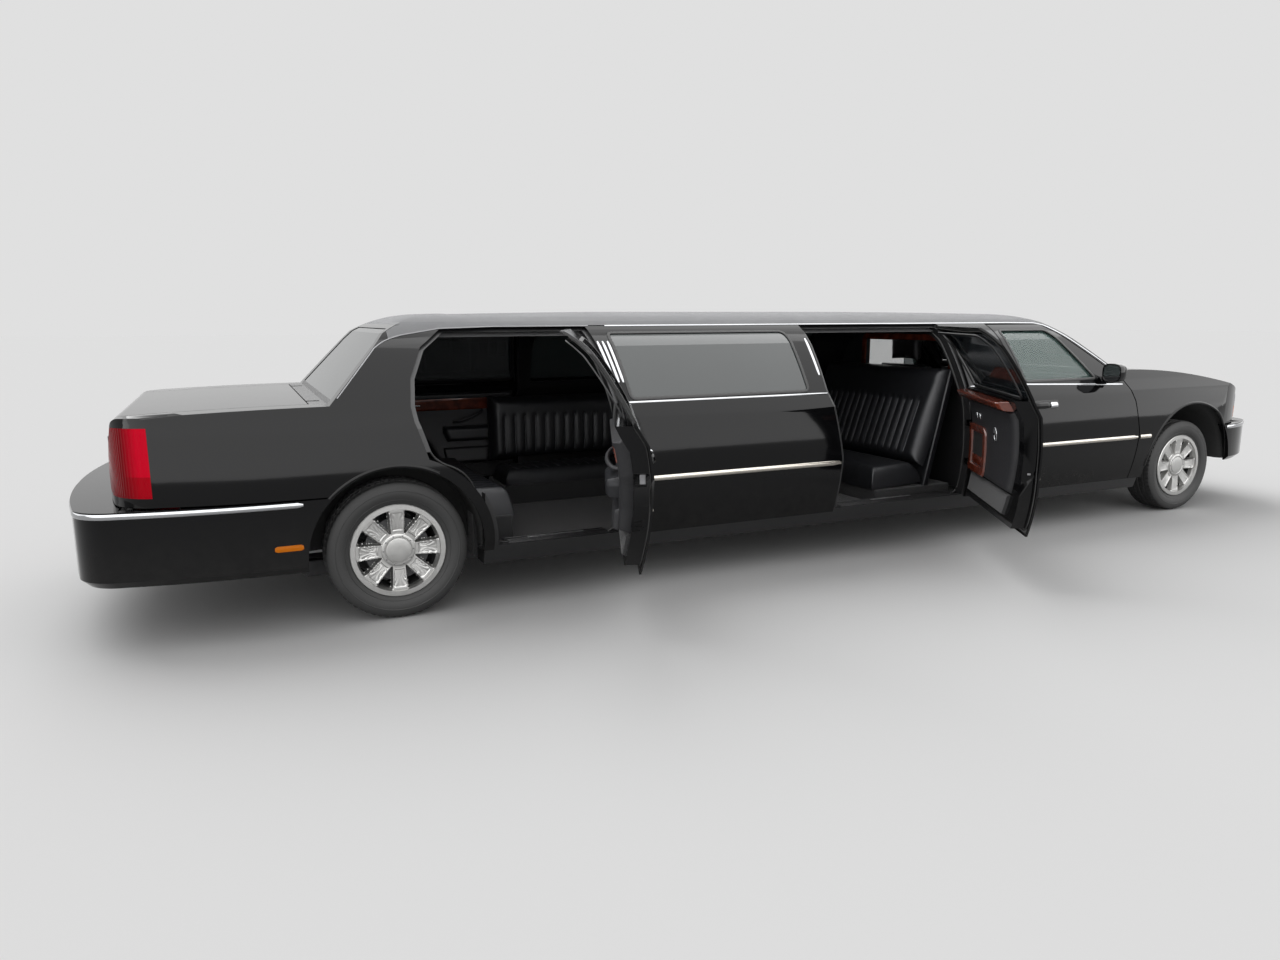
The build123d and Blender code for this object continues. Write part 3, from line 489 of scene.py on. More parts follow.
DOOR_TRIM = Finish("door_trim", (0.018, 0.018, 0.021), 0.55, grain=0.0006)
CARPET = Carpet("carpet_dark", (0.020, 0.020, 0.022), 0.95)
HEADLINER = Carpet("headliner", (0.055, 0.055, 0.06), 0.95)
WOOD = Wood("wood_red", (0.27, 0.05, 0.022), 0.18)
TRIM = Finish("trim_dark", (0.02, 0.02, 0.022), 0.55, grain=0.0004)
IRON = Finish("iron_dark", (0.05, 0.05, 0.052), 0.7, 0.3, 0.3, 0.0008)
STEEL = Finish("steel_dull", (0.16, 0.16, 0.165), 0.45, 0.9, 0.2)
LAMP_RED = Lens("lens_red", (0.80, 0.003, 0.026), 0.12, second=(0.52, 0.002, 0.013), height=0.79,
                edge=float(ORIGIN[0]) - 1.085)
LAMP_CLEAR = HeadLens("lens_clear", (0.3, 0.3, 0.3), 0.10)
AMBER = Lens("amber", (0.75, 0.20, 0.01), 0.12, second=(0.75, 0.20, 0.01))

SLOT_FINISHES = {
    "body_paint": PAINT, "roof_vinyl": VINYL, "frame_black": SATIN, "glass": GLASS_DARK, "door_glass": GLASS_CLEAR,
    "lamp_clear": LAMP_CLEAR, "lamp_red": LAMP_RED, "chrome": CHROME, "steel": IRON, "iron": IRON, "alloy": ALLOY,
    "tyre": RUBBER, "leather": LEATHER, "carpet": CARPET, "wood": WOOD, "trim": TRIM,
}


# Forms


def unit(vectors: Array) -> Array:
    """Vectors scaled to length 1."""
    return vectors / np.maximum(np.linalg.norm(vectors, axis=-1, keepdims=True), TINY)


def turns(count: int) -> Array:
    """Even angles once round a circle, the first one 0."""
    return np.linspace(0, math.tau, count, endpoint=False)


def arc(start: Sequence[float], middle_point: Sequence[float], end: Sequence[float], count: int = 13) -> Array:
    """Points along the circle through three points.

    The centre c solves 2 (p - start) . c = |p|^2 - |start|^2 for the other two points p.

    Args:
        start: first point.
        middle_point: a point on the way.
        end: last point.
        count: how many points.

    Returns:
        The points, in order.
    """
    first, second, third = (np.array(point, float) for point in (start, middle_point, end))
    rows = 2 * np.array([second - first, third - first])
    centre = np.linalg.solve(rows, [second @ second - first @ first, third @ third - first @ first])
    ends = np.unwrap([math.atan2(*(point - centre)[::-1]) for point in (first, second, third)])
    angle = np.linspace(ends[0], ends[2], count)
    return centre + np.linalg.norm(first - centre) * np.stack([np.cos(angle), np.sin(angle)], 1)


class Flank:
    """The body's right side: its section drawn along the car, limited by its plan at the ends."""

    def __init__(self) -> None:
        """Section and plan from the same lines and arcs as the model's, in metres."""
        # columns: half width, height
        section = [arc((0.945, 0.290), (0.984, 0.460), (0.997, 0.630)),
                   arc((0.997, 0.630), (0.990, 0.800), (0.968, 0.950))[1:], [(0.925, 1.020)],
                   arc((0.925, 1.020), (0.822, 1.205), (0.742, 1.320))[1:],
                   arc((0.742, 1.320), (0.688, 1.370), (0.610, 1.420))[1:],
                   arc((0.610, 1.420), (0.505, 1.464), (0.390, 1.486))[1:],
                   arc((0.390, 1.486), (0.200, 1.501), (0.000, 1.508))[1:]]
        self.section = np.concatenate([[(0.915, 0.200)], *section])
        along = unit(np.gradient(self.section, axis=0))
        self.normal = np.stack([along[:, 1], -along[:, 0]], 1)
        # columns: x, half width
        plan = [arc((-1.262, 0.0), (-1.250, 0.400), (-1.205, 0.740)),
                arc((-1.205, 0.740), (-1.150, 0.850), (-1.010, 0.925)),
                arc((-1.010, 0.925), (-0.700, 0.985), (-0.300, 1.005)),
                arc((5.900, 1.005), (6.260, 0.968), (6.470, 0.890)),
                arc((6.470, 0.890), (6.585, 0.790), (6.630, 0.640)),
                arc((6.630, 0.640), (6.654, 0.320), (6.660, 0.0))]
        self.plan = np.concatenate(plan)

    def half(self, z: Array, depth: Array | float = 0.0) -> Array:
        """Half width at a height, at a depth below the surface: P - depth N, read at that height."""
        z = np.asarray(z, float)
        wide = np.interp(z, self.section[:, 1], self.section[:, 0])
        lean = np.interp(z, self.section[:, 1], self.normal[:, 0])
        return wide - np.asarray(depth) / np.maximum(lean, 0.35)

    def point(self, x: Array, z: Array, depth: Array | float = 0.0) -> Array:
        """Points of the right side: (x, -y, z) with y the lesser of section and plan."""
        x, z = np.broadcast_arrays(np.asarray(x, float), np.asarray(z, float))
        limit = np.interp(x, self.plan[:, 0], self.plan[:, 1]) - np.asarray(depth)
        return np.stack([x, -np.minimum(self.half(z, depth), limit), z], -1)

    def outward(self, z: Array | float) -> Array:
        """Unit normals of the right side at a height, from the section."""
        z = np.asarray(z, float)
        across = np.interp(z, self.section[:, 1], self.normal[:, 0])
        up = np.interp(z, self.section[:, 1], self.normal[:, 1])
        length = np.hypot(across, up)
        return np.stack([np.zeros_like(z), -across / length, up / length], -1)


FLANK = Flank()


def rounded(points: Sequence[Sequence[float]], radius: float, count: int = 6) -> Array:
    """A closed outline with its corners rounded.

    Each corner C becomes the curve (1-t)^2 A + 2 t (1-t) C + t^2 B between points at the radius on both sides.

    Args:
        points: corners in order.
        radius: how far from a corner the rounding starts.
        count: points on each corner.

    Returns:
        The outline's points.
    """
    corners = np.array(points, float)
    t = np.linspace(0, 1, count)[:, None]
    out = []
    for before, corner, after in zip(np.roll(corners, 1, 0), corners, np.roll(corners, -1, 0)):
        near = [corner + (other - corner) * min(0.45, radius / np.linalg.norm(other - corner))
                for other in (before, after)]
        out.append((1 - t) ** 2 * near[0] + 2 * t * (1 - t) * corner + t ** 2 * near[1])
    return np.concatenate(out)


def rectangle(first: float, last: float, low: float, high: float) -> list[tuple[float, float]]:
    """Corners of an upright rectangle, in order."""
    return [(first, low), (last, low), (last, high), (first, high)]


def surface(x: Array, y: Array, z: Array) -> Array:
    """A grid of points from its three coordinates, broadcast together."""
    return np.stack(np.broadcast_arrays(x, y, z), -1)


def refined(outline: Array, step: float = 0.04) -> Array:
    """A closed outline with points no further apart than a step."""
    out = []
    for a, b in zip(outline, np.roll(outline, -1, 0)):
        count = max(1, int(math.ceil(np.linalg.norm(b - a) / step)))
        out.append(a + (b - a) * np.linspace(0, 1, count, endpoint=False)[:, None])
    return np.concatenate(out)


def shrunk(corners: Sequence[Sequence[float]], radius: float, inset: float) -> Array:
    """An outline with rounded corners, its points moved by an inset towards the corners' mean."""
    outline = refined(rounded(corners, radius), 0.05)
    return outline + unit(np.array(corners).mean(0) - outline) * inset


HALF_ROUND = np.array([(math.cos(t), max(math.sin(t), 0.0)) for t in np.linspace(0, math.pi, 9)])
RIBBON = np.array([(1, 0), (1, 0.6), (0.8, 1), (-0.8, 1), (-1, 0.6), (-1, 0)])


def course(path: Array, closed: bool) -> Array:
    """Directions of a path at its points."""
    return unit(np.roll(path, -1, 0) - np.roll(path, 1, 0) if closed else np.gradient(path, axis=0))


def swept(path: Array, normals: Array, profile: Array, closed: bool = False) -> Array:
    """Rings of a profile carried along a path on a surface.

    Ring point = P + a S + b N with N the surface's normal, D the path's direction and S = N x D.

    Args:
        path: points of the path.
        normals: the surface's normals there, or the one normal of a flat face.
        profile: points (a, b) of the profile, in metres.
        closed: whether the path is a loop.

    Returns:
        Points, one ring to a row.
    """
    normals = np.broadcast_to(np.asarray(normals, float), path.shape)
    side = unit(np.cross(normals, course(path, closed)))
    return path[:, None] + side[:, None] * profile[None, :, :1] + normals[:, None] * profile[None, :, 1:]


def quads(index: Array) -> Array:
    """Four-sided faces between the points of a grid, given by their numbers."""
    return np.stack([index[:-1, :-1], index[1:, :-1], index[1:, 1:], index[:-1, 1:]], -1).reshape(-1, 4)


class Shape:
    """Surfaces gathered into one mesh, in the car frame."""

    def __init__(self) -> None:
        """Starts empty."""
        self.points: list[Array] = []
        self.faces: list[list[int]] = []
        self.count = 0

    def grid(self, sheet: Array, loop_rows: bool = False, loop_columns: bool = False, caps: bool = False) -> Shape:
        """Adds a surface given as a grid of points.

        Args:
            sheet: points P(u, v), rows by columns by 3.
            loop_rows: whether the last row joins the first.
            loop_columns: whether the last column joins the first.
            caps: whether the first and last rows are closed with a face.

        Returns:
            This shape.
        """
        rows, columns = sheet.shape[:2]
        index = np.arange(rows * columns).reshape(rows, columns) + self.count
        if caps:
            self.faces.append(index[0][::-1].tolist())
            self.faces.append(index[-1].tolist())
        if loop_rows:
            index = np.vstack([index, index[:1]])
        if loop_columns:
            index = np.hstack([index, index[:, :1]])
        self.faces += quads(index).tolist()
        self.points.append(sheet.reshape(-1, 3))
        self.count += rows * columns
        return self

    def strip(self, path: Array, normals: Array, width: float, proud: float, profile: Array = HALF_ROUND,
              closed: bool = False, taper: float = 1.0) -> Shape:
        """Adds a strip along points of a surface.

        Args:
            path: the points.
            normals: the surface's normals there, or the one normal of a flat face.
            width: the strip's width.
            proud: how far it stands off the surface.
            profile: its section, from -1 to 1 across and 0 to 1 up.
            closed: whether it is a loop.
            taper: share of its section left at its ends.

        Returns:
            This shape.
        """
        rings = swept(path, normals, profile * (width / 2, proud), closed)
        if taper < 1 and not closed:
            heart = rings.mean(1, keepdims=True)
            rings[[0, -1]] = heart[[0, -1]] + (rings[[0, -1]] - heart[[0, -1]]) * taper
        return self.grid(rings, loop_rows=closed, loop_columns=True, caps=not closed)

    def trail(self, points: Array, width: float, proud: float, profile: Array = HALF_ROUND, closed: bool = False,
              taper: float = 1.0) -> Shape:
        """Adds a strip on the right flank along points (x, z)."""
        x, z = points.T
        return self.strip(FLANK.point(x, z), FLANK.outward(z), width, proud, profile, closed, taper)

    def panel(self, rows: Sequence[Sequence[float]], depth: float, thick: float, edge: float = 0.02,
              count: int = 22) -> Shape:
        """Adds a pad on the flank.

        Its thickness is f = thick (1 - (1 - d)^2)^0.5, with d the distance from its border over its edge.

        Args:
            rows: columns z, rearmost x and foremost x, from the lowest row up.
            depth: depth of its back below the body's surface; its front stands further in.
            thick: its thickness, negative for one that stands outwards.
            edge: width over which the thickness grows.
            count: points each way.

        Returns:
            This shape.
        """
        table = np.array(rows, float)
        v = np.linspace(table[0, 0], table[-1, 0], count)[:, None]
        low, high = (np.interp(v, table[:, 0], table[:, k]) for k in (1, 2))
        u = (0.5 - 0.5 * np.cos(np.linspace(0, math.pi, count)))[None]
        x = low + (high - low) * u
        z = np.broadcast_to(v, x.shape)
        border = np.minimum(np.minimum(x - low, high - x), np.minimum(z - v[0], v[-1] - z))
        full = np.clip(border / edge, 0, 1)
        front = FLANK.point(x, z, depth + thick * np.sqrt(1 - (1 - full) ** 2))
        return self.grid(front).grid(FLANK.point(x, z, depth)[:, ::-1])

    def revolve(self, profile: Sequence[Sequence[float]], centre: Sequence[float], count: int = 48,
                axis: int = 1) -> Shape:
        """Adds a profile of (distance along the axis, radius) turned about an axis through a centre."""
        table = np.array(profile, float)
        turn = turns(count)[:, None]
        across = [i for i in range(3) if i != axis]
        ring = np.zeros((count, len(table), 3))
        ring[..., axis] = table[:, 0]
        ring[..., across[0]] = table[:, 1] * np.cos(turn)
        ring[..., across[1]] = table[:, 1] * np.sin(turn)
        return self.grid(ring + np.array(centre, float), loop_rows=True)

    def block(self, low: Sequence[float], high: Sequence[float]) -> Shape:
        """Adds a straight block between two corners."""
        a, b = np.array(low, float), np.array(high, float)
        square = np.array([(a[0], a[1]), (b[0], a[1]), (b[0], b[1]), (a[0], b[1])])
        rings = np.stack([np.c_[square, np.full(4, z)] for z in (a[2], b[2])])
        return self.grid(rings, loop_columns=True, caps=True)

    def prism(self, section: Sequence[Sequence[float]], first: float, last: float) -> Shape:
        """Adds a section (x, z) carried straight across the car from one y to another."""
        rings = np.stack([np.insert(np.array(section, float), 1, y, axis=1) for y in (first, last)])
        return self.grid(rings, loop_columns=True, caps=True)

    def tube(self, path: Sequence[Sequence[float]], radius: float, sides: int = 10, closed: bool = False) -> Shape:
        """Adds a round tube along points."""
        points = np.array(path, float)
        along = course(points, closed)
        spare = np.where(np.abs(along[:, 2:]) < 0.9, [[0.0, 0, 1]], [[1.0, 0, 0]])
        turn = turns(sides)
        profile = np.stack([np.cos(turn), np.sin(turn)], 1) * radius
        rings = swept(points, unit(np.cross(along, spare)), profile, closed)
        return self.grid(rings, loop_rows=closed, loop_columns=True, caps=not closed)

    def mirrored(self) -> Shape:
        """The same shape on the car's other side."""
        twin = Shape()
        twin.points = [points * (1, -1, 1) for points in self.points]
        twin.faces = [face[::-1] for face in self.faces]
        twin.count = self.count
        return twin

    def join(self, other: Shape) -> Shape:
        """Adds another shape's surfaces."""
        self.points += other.points
        self.faces += [[index + self.count for index in face] for face in other.faces]
        self.count += other.count
        return self

    def both(self) -> Shape:
        """This shape together with its twin on the other side."""
        return self.join(self.mirrored())


def placed(name: str, data: bpy.types.ID) -> bpy.types.Object:
    """A new object with some data, linked to the scene."""
    made = bpy.data.objects.new(name, data)
    bpy.context.scene.collection.objects.link(made)
    return made


def read(items: bpy.types.bpy_prop_collection, key: str, width: int = 3, kind: type = np.float32) -> Array:
    """One property of every item, a row for each."""
    table = np.empty(len(items) * width, kind)
    items.foreach_get(key, table)
    return table.reshape(-1, width) if width > 1 else table


@contextmanager
def edited(mesh: bpy.types.Mesh) -> Iterator[bmesh.types.BMesh]:
    """A mesh opened for changes, which are written back at the end."""
    work = bmesh.new()
    work.from_mesh(mesh)
    yield work
    work.to_mesh(mesh)
    work.free()


def dress(mesh: bpy.types.Mesh, finish: Finish) -> None:
    """Gives a mesh one finish."""
    mesh.materials.clear()
    mesh.materials.append(finish.material())


def smooth(mesh: bpy.types.Mesh, angle: float) -> None:
    """Shades a mesh smooth, but for edges that turn by more than an angle in degrees."""
    mesh.polygons.foreach_set("use_smooth", np.ones(len(mesh.polygons), bool))
    mesh.set_sharp_from_angle(angle=math.radians(angle))


def carried(points: Array, body: str) -> Array:
    """Points of the closed car, moved to where their body stands at rest, in the model's frame."""
    joint = JOINTS.get(f"{body}_hinge")
    if joint and body.startswith("door") and joint["range_deg"][0] < 0:
        angle = math.radians(-joint["range_deg"][0])
        pin = np.array(joint["pos_m"]) - ORIGIN
        away = points - pin
        turned = np.stack([away[:, 0] * math.cos(angle) - away[:, 1] * math.sin(angle),
                           away[:, 0] * math.sin(angle) + away[:, 1] * math.cos(angle), away[:, 2]], 1)
        points = turned + pin
    return points + ORIGIN


def piece(name: str, shape: Shape, finish: Finish, body: str = "body", sharp: float = 40.0,
          bevel: float = 0.0, replaces: Sequence[str] = ()) -> bpy.types.Object:
    """Makes one finished piece of a shape.

    Args:
        name: the piece's name.
        shape: its surfaces, in the car frame with the doors closed.
        finish: its finish.
        body: the body that it rides on.
        sharp: edges that turn by more than this stay sharp, in degrees.
        bevel: width of a bevel on its sharp edges.
        replaces: CAD nodes that it stands for.

    Returns:
        The new object.
    """
    mesh = bpy.data.meshes.new(name)
    mesh.from_pydata(carried(np.concatenate(shape.points), body).tolist(), [], shape.faces)
    with edited(mesh) as work:
        bmesh.ops.remove_doubles(work, verts=work.verts, dist=MERGE)
        bmesh.ops.dissolve_degenerate(work, edges=work.edges, dist=1e-6)
        bmesh.ops.recalc_face_normals(work, faces=work.faces)
    smooth(mesh, sharp)
    dress(mesh, finish)
    made = placed(name, mesh)
    if bevel:
        modifier = made.modifiers.new("bevel", "BEVEL")
        modifier.width = bevel
        modifier.segments = 2
        modifier.limit_method = "ANGLE"
        modifier.angle_limit = math.radians(sharp)
    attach(made, body)
    if replaces:
        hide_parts(*replaces)
    return made


class Skin:
    """A CAD node's surface in the car frame, to be found by rays."""

    def __init__(self, node: str) -> None:
        """Gathers the node's faces."""
        mesh = frame["nodes"][node].data
        points = read(mesh.vertices, "co") - ORIGIN
        self.tree = BVHTree.FromPolygons(points.tolist(), [list(polygon.vertices) for polygon in mesh.polygons])

    def hit(self, start: Array, aim: Array) -> tuple[Array, Array]:
        """Where rays from start points along directions first meet the skin, with the normals there."""
        found = []
        for here, way in zip(np.broadcast_to(start, np.shape(aim)), aim):
            place, normal, _, _ = self.tree.ray_cast(Vector(here), Vector(way))
            if place is not None:
                normal = normal if normal.dot(Vector(way)) < 0 else -normal
                found.append((np.array(place), np.array(normal)))
        return np.array([pair[0] for pair in found]), np.array([pair[1] for pair in found])


# Outside

REAR_DOOR = ((1.190, 0.300), (1.190, 1.020), (1.116, 1.415), (0.325, 1.415), (0.194, 1.323), (0.122, 1.180),
             (0.104, 1.050), (0.112, 0.978), (0.174, 0.775), (0.335, 0.700), (0.486, 0.420), (0.500, 0.300))
MIDDLE_DOOR = ((2.607, 0.300), (2.627, 0.633), (2.568, 0.968), (2.551, 1.045), (2.543, 1.332), (2.550, 1.415),
               (3.645, 1.415), (3.660, 1.350), (3.660, 0.300))
FRONT_DOOR = ((4.120, 0.300), (4.120, 1.020), (4.092, 1.415), (4.590, 1.415), (4.985, 1.120), (5.118, 1.023),
              (5.200, 0.870), (5.250, 0.640), (5.228, 0.300))
REAR_WINDOW = ((1.135, 1.045), (1.078, 1.372), (0.355, 1.372), (0.235, 1.290), (0.176, 1.170), (0.165, 1.045))
MIDDLE_WINDOW = ((2.608, 1.045), (2.600, 1.345), (2.625, 1.372), (3.570, 1.372), (3.595, 1.345), (3.600, 1.045))
FRONT_WINDOW = ((4.175, 1.040), (4.140, 1.378), (4.578, 1.378), (4.640, 1.318), (4.850, 1.040))
STRETCH_WINDOW = ((1.268, 1.040), (1.228, 1.388), (2.372, 1.388), (2.400, 1.360), (2.419, 1.040))
LEFT_WINDOW = ((2.608, 1.040), (2.600, 1.360), (2.628, 1.388), (3.570, 1.388), (3.595, 1.360), (3.600, 1.040))


class Side(Enum):
    """The two sides of the car."""

    RIGHT = "right"
    LEFT = "left"

    def shape(self, made: Shape) -> Shape:
        """A right-hand shape as this side needs it."""
        return made if self is Side.RIGHT else made.mirrored()

    def has(self, stem: str) -> bool:
        """Whether this side has a door of that stem: the middle one is on the right alone."""
        return self is Side.RIGHT or not stem.endswith("middle")


def line(start: float, end: float, low: float, high: float, count: int = 24) -> Array:
    """Points (x, z) along a straight run."""
    return np.stack([np.linspace(start, end, count), np.linspace(low, high, count)], 1)


@dataclass
class Skins:
    """Outer panels as smooth copies of their solids, so that gloss runs on over the curved flanks."""

    names: tuple = ("quarter", "stretch_side", "fender", "door_rear", "door_middle", "door_front", "hood", "trunk_lid",
                    "nose_panel", "rear_bumper", "front_bumper", "roof", "tail_lamps", "headlamps", "rear_deck")
    panes: tuple = ("glass_rear", "glass_middle")
    # columns: bumper, height of the end of its brackets, just under its cover
    undersides: tuple = (("rear_bumper", 0.298), ("front_bumper", 0.358))
    angle: float = 24.0
    # heights between which the quarters' normals are tilted, and at which their flat faces are cut for it
    low: float = 0.36
    high: float = 1.06
    cuts: tuple = (0.42, 1.08, 0.05)
    # columns: lowest x, y off the centre plane and z of the plain mirror; highest x
    mirror: tuple = (4.85, 0.934, 1.0, 4.99)

    def outboard(self, at: Vector) -> bool:
        """Whether a point lies on a front door's plain mirror, which a rounded one stands in for."""
        x, y, z = np.array(at) - ORIGIN
        rear, off, low, front = self.mirror
        return bool(rear < x < front and abs(y) > off and z > low)

    def cut(self, work: bmesh.types.BMesh, height: float, clear: bool = False) -> list:
        """Cuts a mesh through at a height and returns the cut; what is below it may be taken off."""
        whole = work.verts[:] + work.edges[:] + work.faces[:]
        return bmesh.ops.bisect_plane(work, geom=whole, dist=1e-5, plane_co=(0, 0, height), plane_no=(0, 0, 1),
                                      clear_inner=clear)["geom_cut"]

    def shorten(self, work: bmesh.types.BMesh, height: float) -> None:
        """Takes off what hangs below a height, the bumpers' plain brackets, and closes the cuts."""
        rims = [item for item in self.cut(work, height, True) if isinstance(item, bmesh.types.BMEdge)]
        for face in bmesh.ops.holes_fill(work, edges=rims, sides=0)["faces"]:
            face.normal_update()
            if face.normal.z > 0:
                face.normal_flip()

    def lean(self, mesh: bpy.types.Mesh) -> None:
        """Tilts the outer normals like the flank's: n = (cos t n_xy / |n_xy|, sin t), t the flank's tilt at z."""
        normals = read(mesh.corner_normals, "vector")
        places = read(mesh.vertices, "co")[read(mesh.loops, "vertex_index", 1, np.int32)] - ORIGIN
        outer = (normals[:, 1] * np.sign(places[:, 1]) > 0.75) & (np.abs(normals[:, 2]) < 0.5)
        outer &= (places[:, 2] > self.low) & (places[:, 2] < self.high)
        rise = FLANK.outward(places[outer, 2])[:, 2]
        normals[outer] = np.column_stack([unit(normals[outer, :2]) * np.sqrt(1 - rise ** 2)[:, None], rise])
        mesh.normals_split_custom_set(normals.tolist())

    def build(self) -> None:
        """Merges each copy's loose triangles and smooths it up to an angle."""
        for name in sorted(frame["nodes"]):
            if not name.startswith(self.names + self.panes):
                continue
            node = frame["nodes"][name]
            flank = name.startswith("quarter")
            mesh = node.data.copy()
            mesh.name = f"skin_{name}"
            with edited(mesh) as work:
                bmesh.ops.remove_doubles(work, verts=work.verts, dist=MERGE)
                if name.startswith("door_front"):
                    shell = [face for face in work.faces if all(self.outboard(vertex.co) for vertex in face.verts)]
                    bmesh.ops.delete(work, geom=shell, context="FACES")
                if name in dict(self.undersides):
                    self.shorten(work, dict(self.undersides)[name])
                bmesh.ops.dissolve_limit(work, angle_limit=math.radians(0.4), verts=work.verts, edges=work.edges)
                for height in np.arange(*self.cuts) if flank else ():
                    self.cut(work, height)
            smooth(mesh, self.angle)
            if flank:
                self.lean(mesh)
            dress(mesh, GLASS_REAR if name.startswith(self.panes) else SLOT_FINISHES[SLOTS[name]])
            made = placed(f"skin_{name}", mesh)
            if not flank:
                made.modifiers.new("weighted", "WEIGHTED_NORMAL").keep_sharp = True
            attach(made, node["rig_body"])
            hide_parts(name)


@dataclass
class Trims:
    """Bright mouldings, pillar slats and window gaskets along the flanks."""

    moulding_height: float = 0.610
    moulding_width: float = 0.030
    belt_height: float = 1.022
    belt_width: float = 0.014
    # columns: body's own stem, first x and last x of the moulding there, first and last x of the belt line
    right: tuple = (("door_rear", 0.455, 1.180, 0.135, 1.182), ("body", 1.206, 2.608, 1.206, 2.545),
                    ("door_middle", 2.640, 3.648, 2.572, 3.650), ("body", 3.674, 4.106, 3.674, 4.106),
                    ("door_front", 4.134, 5.238, 4.134, 5.095), ("body", 5.268, 5.385, 0, 0))
    left: tuple = (("door_rear", 0.455, 1.180, 0.135, 1.182), ("body", 1.206, 4.106, 1.206, 4.106),
                   ("door_front", 4.134, 5.238, 4.134, 5.095), ("body", 5.268, 5.385, 0, 0))
    # columns: top x, top z, bottom x, bottom z
    slats: tuple = ((1.150, 1.342, 1.190, 1.126), (1.180, 1.342, 1.214, 1.126), (1.210, 1.342, 1.240, 1.126),
                    (2.512, 1.342, 2.522, 1.128))

    def mouldings(self, side: Side, runs: tuple) -> None:
        """Lower moulding with rounded ends and a thin belt line, a piece of each for every panel they cross."""
        for number, (stem, first, last, belt_first, belt_last) in enumerate(runs):
            body = stem if stem == "body" else f"{stem}_{side.value}"
            run = line(first, last, self.moulding_height, self.moulding_height)
            shape = Shape().trail(run, self.moulding_width, 0.007, taper=0.55)
            piece(f"moulding_{number}_{side.value}", side.shape(shape), CHAMPAGNE, body)
            if belt_last:
                fall = 0.030 if stem == "door_front" else 0.0
                run = line(belt_first, belt_last, self.belt_height, self.belt_height - fall)
                shape = Shape().trail(run, self.belt_width, 0.005, taper=0.7)
                piece(f"belt_{number}_{side.value}", side.shape(shape), CHROME, body)

    def roof_line(self, side: Side) -> None:
        """Bright line between the paint and the roof covering, and the covering's edge above it."""
        table = np.array([(-0.240, 1.098), (-0.130, 1.222), (-0.030, 1.334), (0.030, 1.366), (0.100, 1.386),
                          (0.310, 1.418), (0.600, 1.426), (2.400, 1.427), (4.300, 1.427), (4.560, 1.424),
                          (4.625, 1.408), (4.700, 1.356), (5.060, 1.090)])
        x = np.concatenate([np.linspace(-0.24, 0.6, 30), np.linspace(0.65, 4.5, 40), np.linspace(4.53, 5.06, 24)])
        z = np.interp(x, table[:, 0], table[:, 1])
        run = np.stack([x, z], 1)
        shape = Shape().trail(run[x > 1.16], 0.011, 0.005)
        piece(f"roof_line_{side.value}", side.shape(shape), CHROME)
        shape = Shape().trail(run[x < 1.20], 0.008, 0.004)
        piece(f"drip_line_{side.value}", side.shape(shape), STEEL)
        x = np.linspace(0.04, 4.60, 90)
        low = np.interp(x, table[:, 0], table[:, 1]) + 0.004
        high = np.minimum(1.443, np.interp(x, [0.02, 0.085, 0.16], [1.396, 1.432, 1.46]))
        share = np.linspace(0, 1, 5)[:, None]
        z = low + (np.maximum(high, low + 0.002) - low) * share
        sheet = FLANK.point(np.broadcast_to(x, z.shape), z, -0.0025)
        piece(f"roof_edge_{side.value}", side.shape(Shape().grid(sheet)), VINYL)

    def pillar_slats(self, side: Side) -> None:
        """Three bright slats behind the stretch window and one ahead of it."""
        shape = Shape()
        for x0, z0, x1, z1 in self.slats:
            shape.trail(line(x0, x1, z0, z1, 9), 0.017, 0.006, taper=0.6)
        piece(f"pillar_slats_{side.value}", side.shape(shape), CHROME)

    def gaskets(self, side: Side) -> None:
        """Rubber round every side window."""
        windows = [("body", STRETCH_WINDOW), (f"door_rear_{side.value}", REAR_WINDOW),
                   (f"door_front_{side.value}", FRONT_WINDOW)]
        windows.append((f"door_middle_{side.value}", MIDDLE_WINDOW) if side is Side.RIGHT else ("body", LEFT_WINDOW))
        for number, (body, outline) in enumerate(windows):
            shape = Shape().trail(refined(rounded(outline, 0.03)), 0.018, 0.0035, RIBBON, closed=True)
            piece(f"gasket_{number}_{side.value}", side.shape(shape), SEAL, body)

    def build(self) -> None:
        """Both sides."""
        for side, runs in ((Side.RIGHT, self.right), (Side.LEFT, self.left)):
            self.mouldings(side, runs)
            self.roof_line(side)
            self.pillar_slats(side)
            self.gaskets(side)


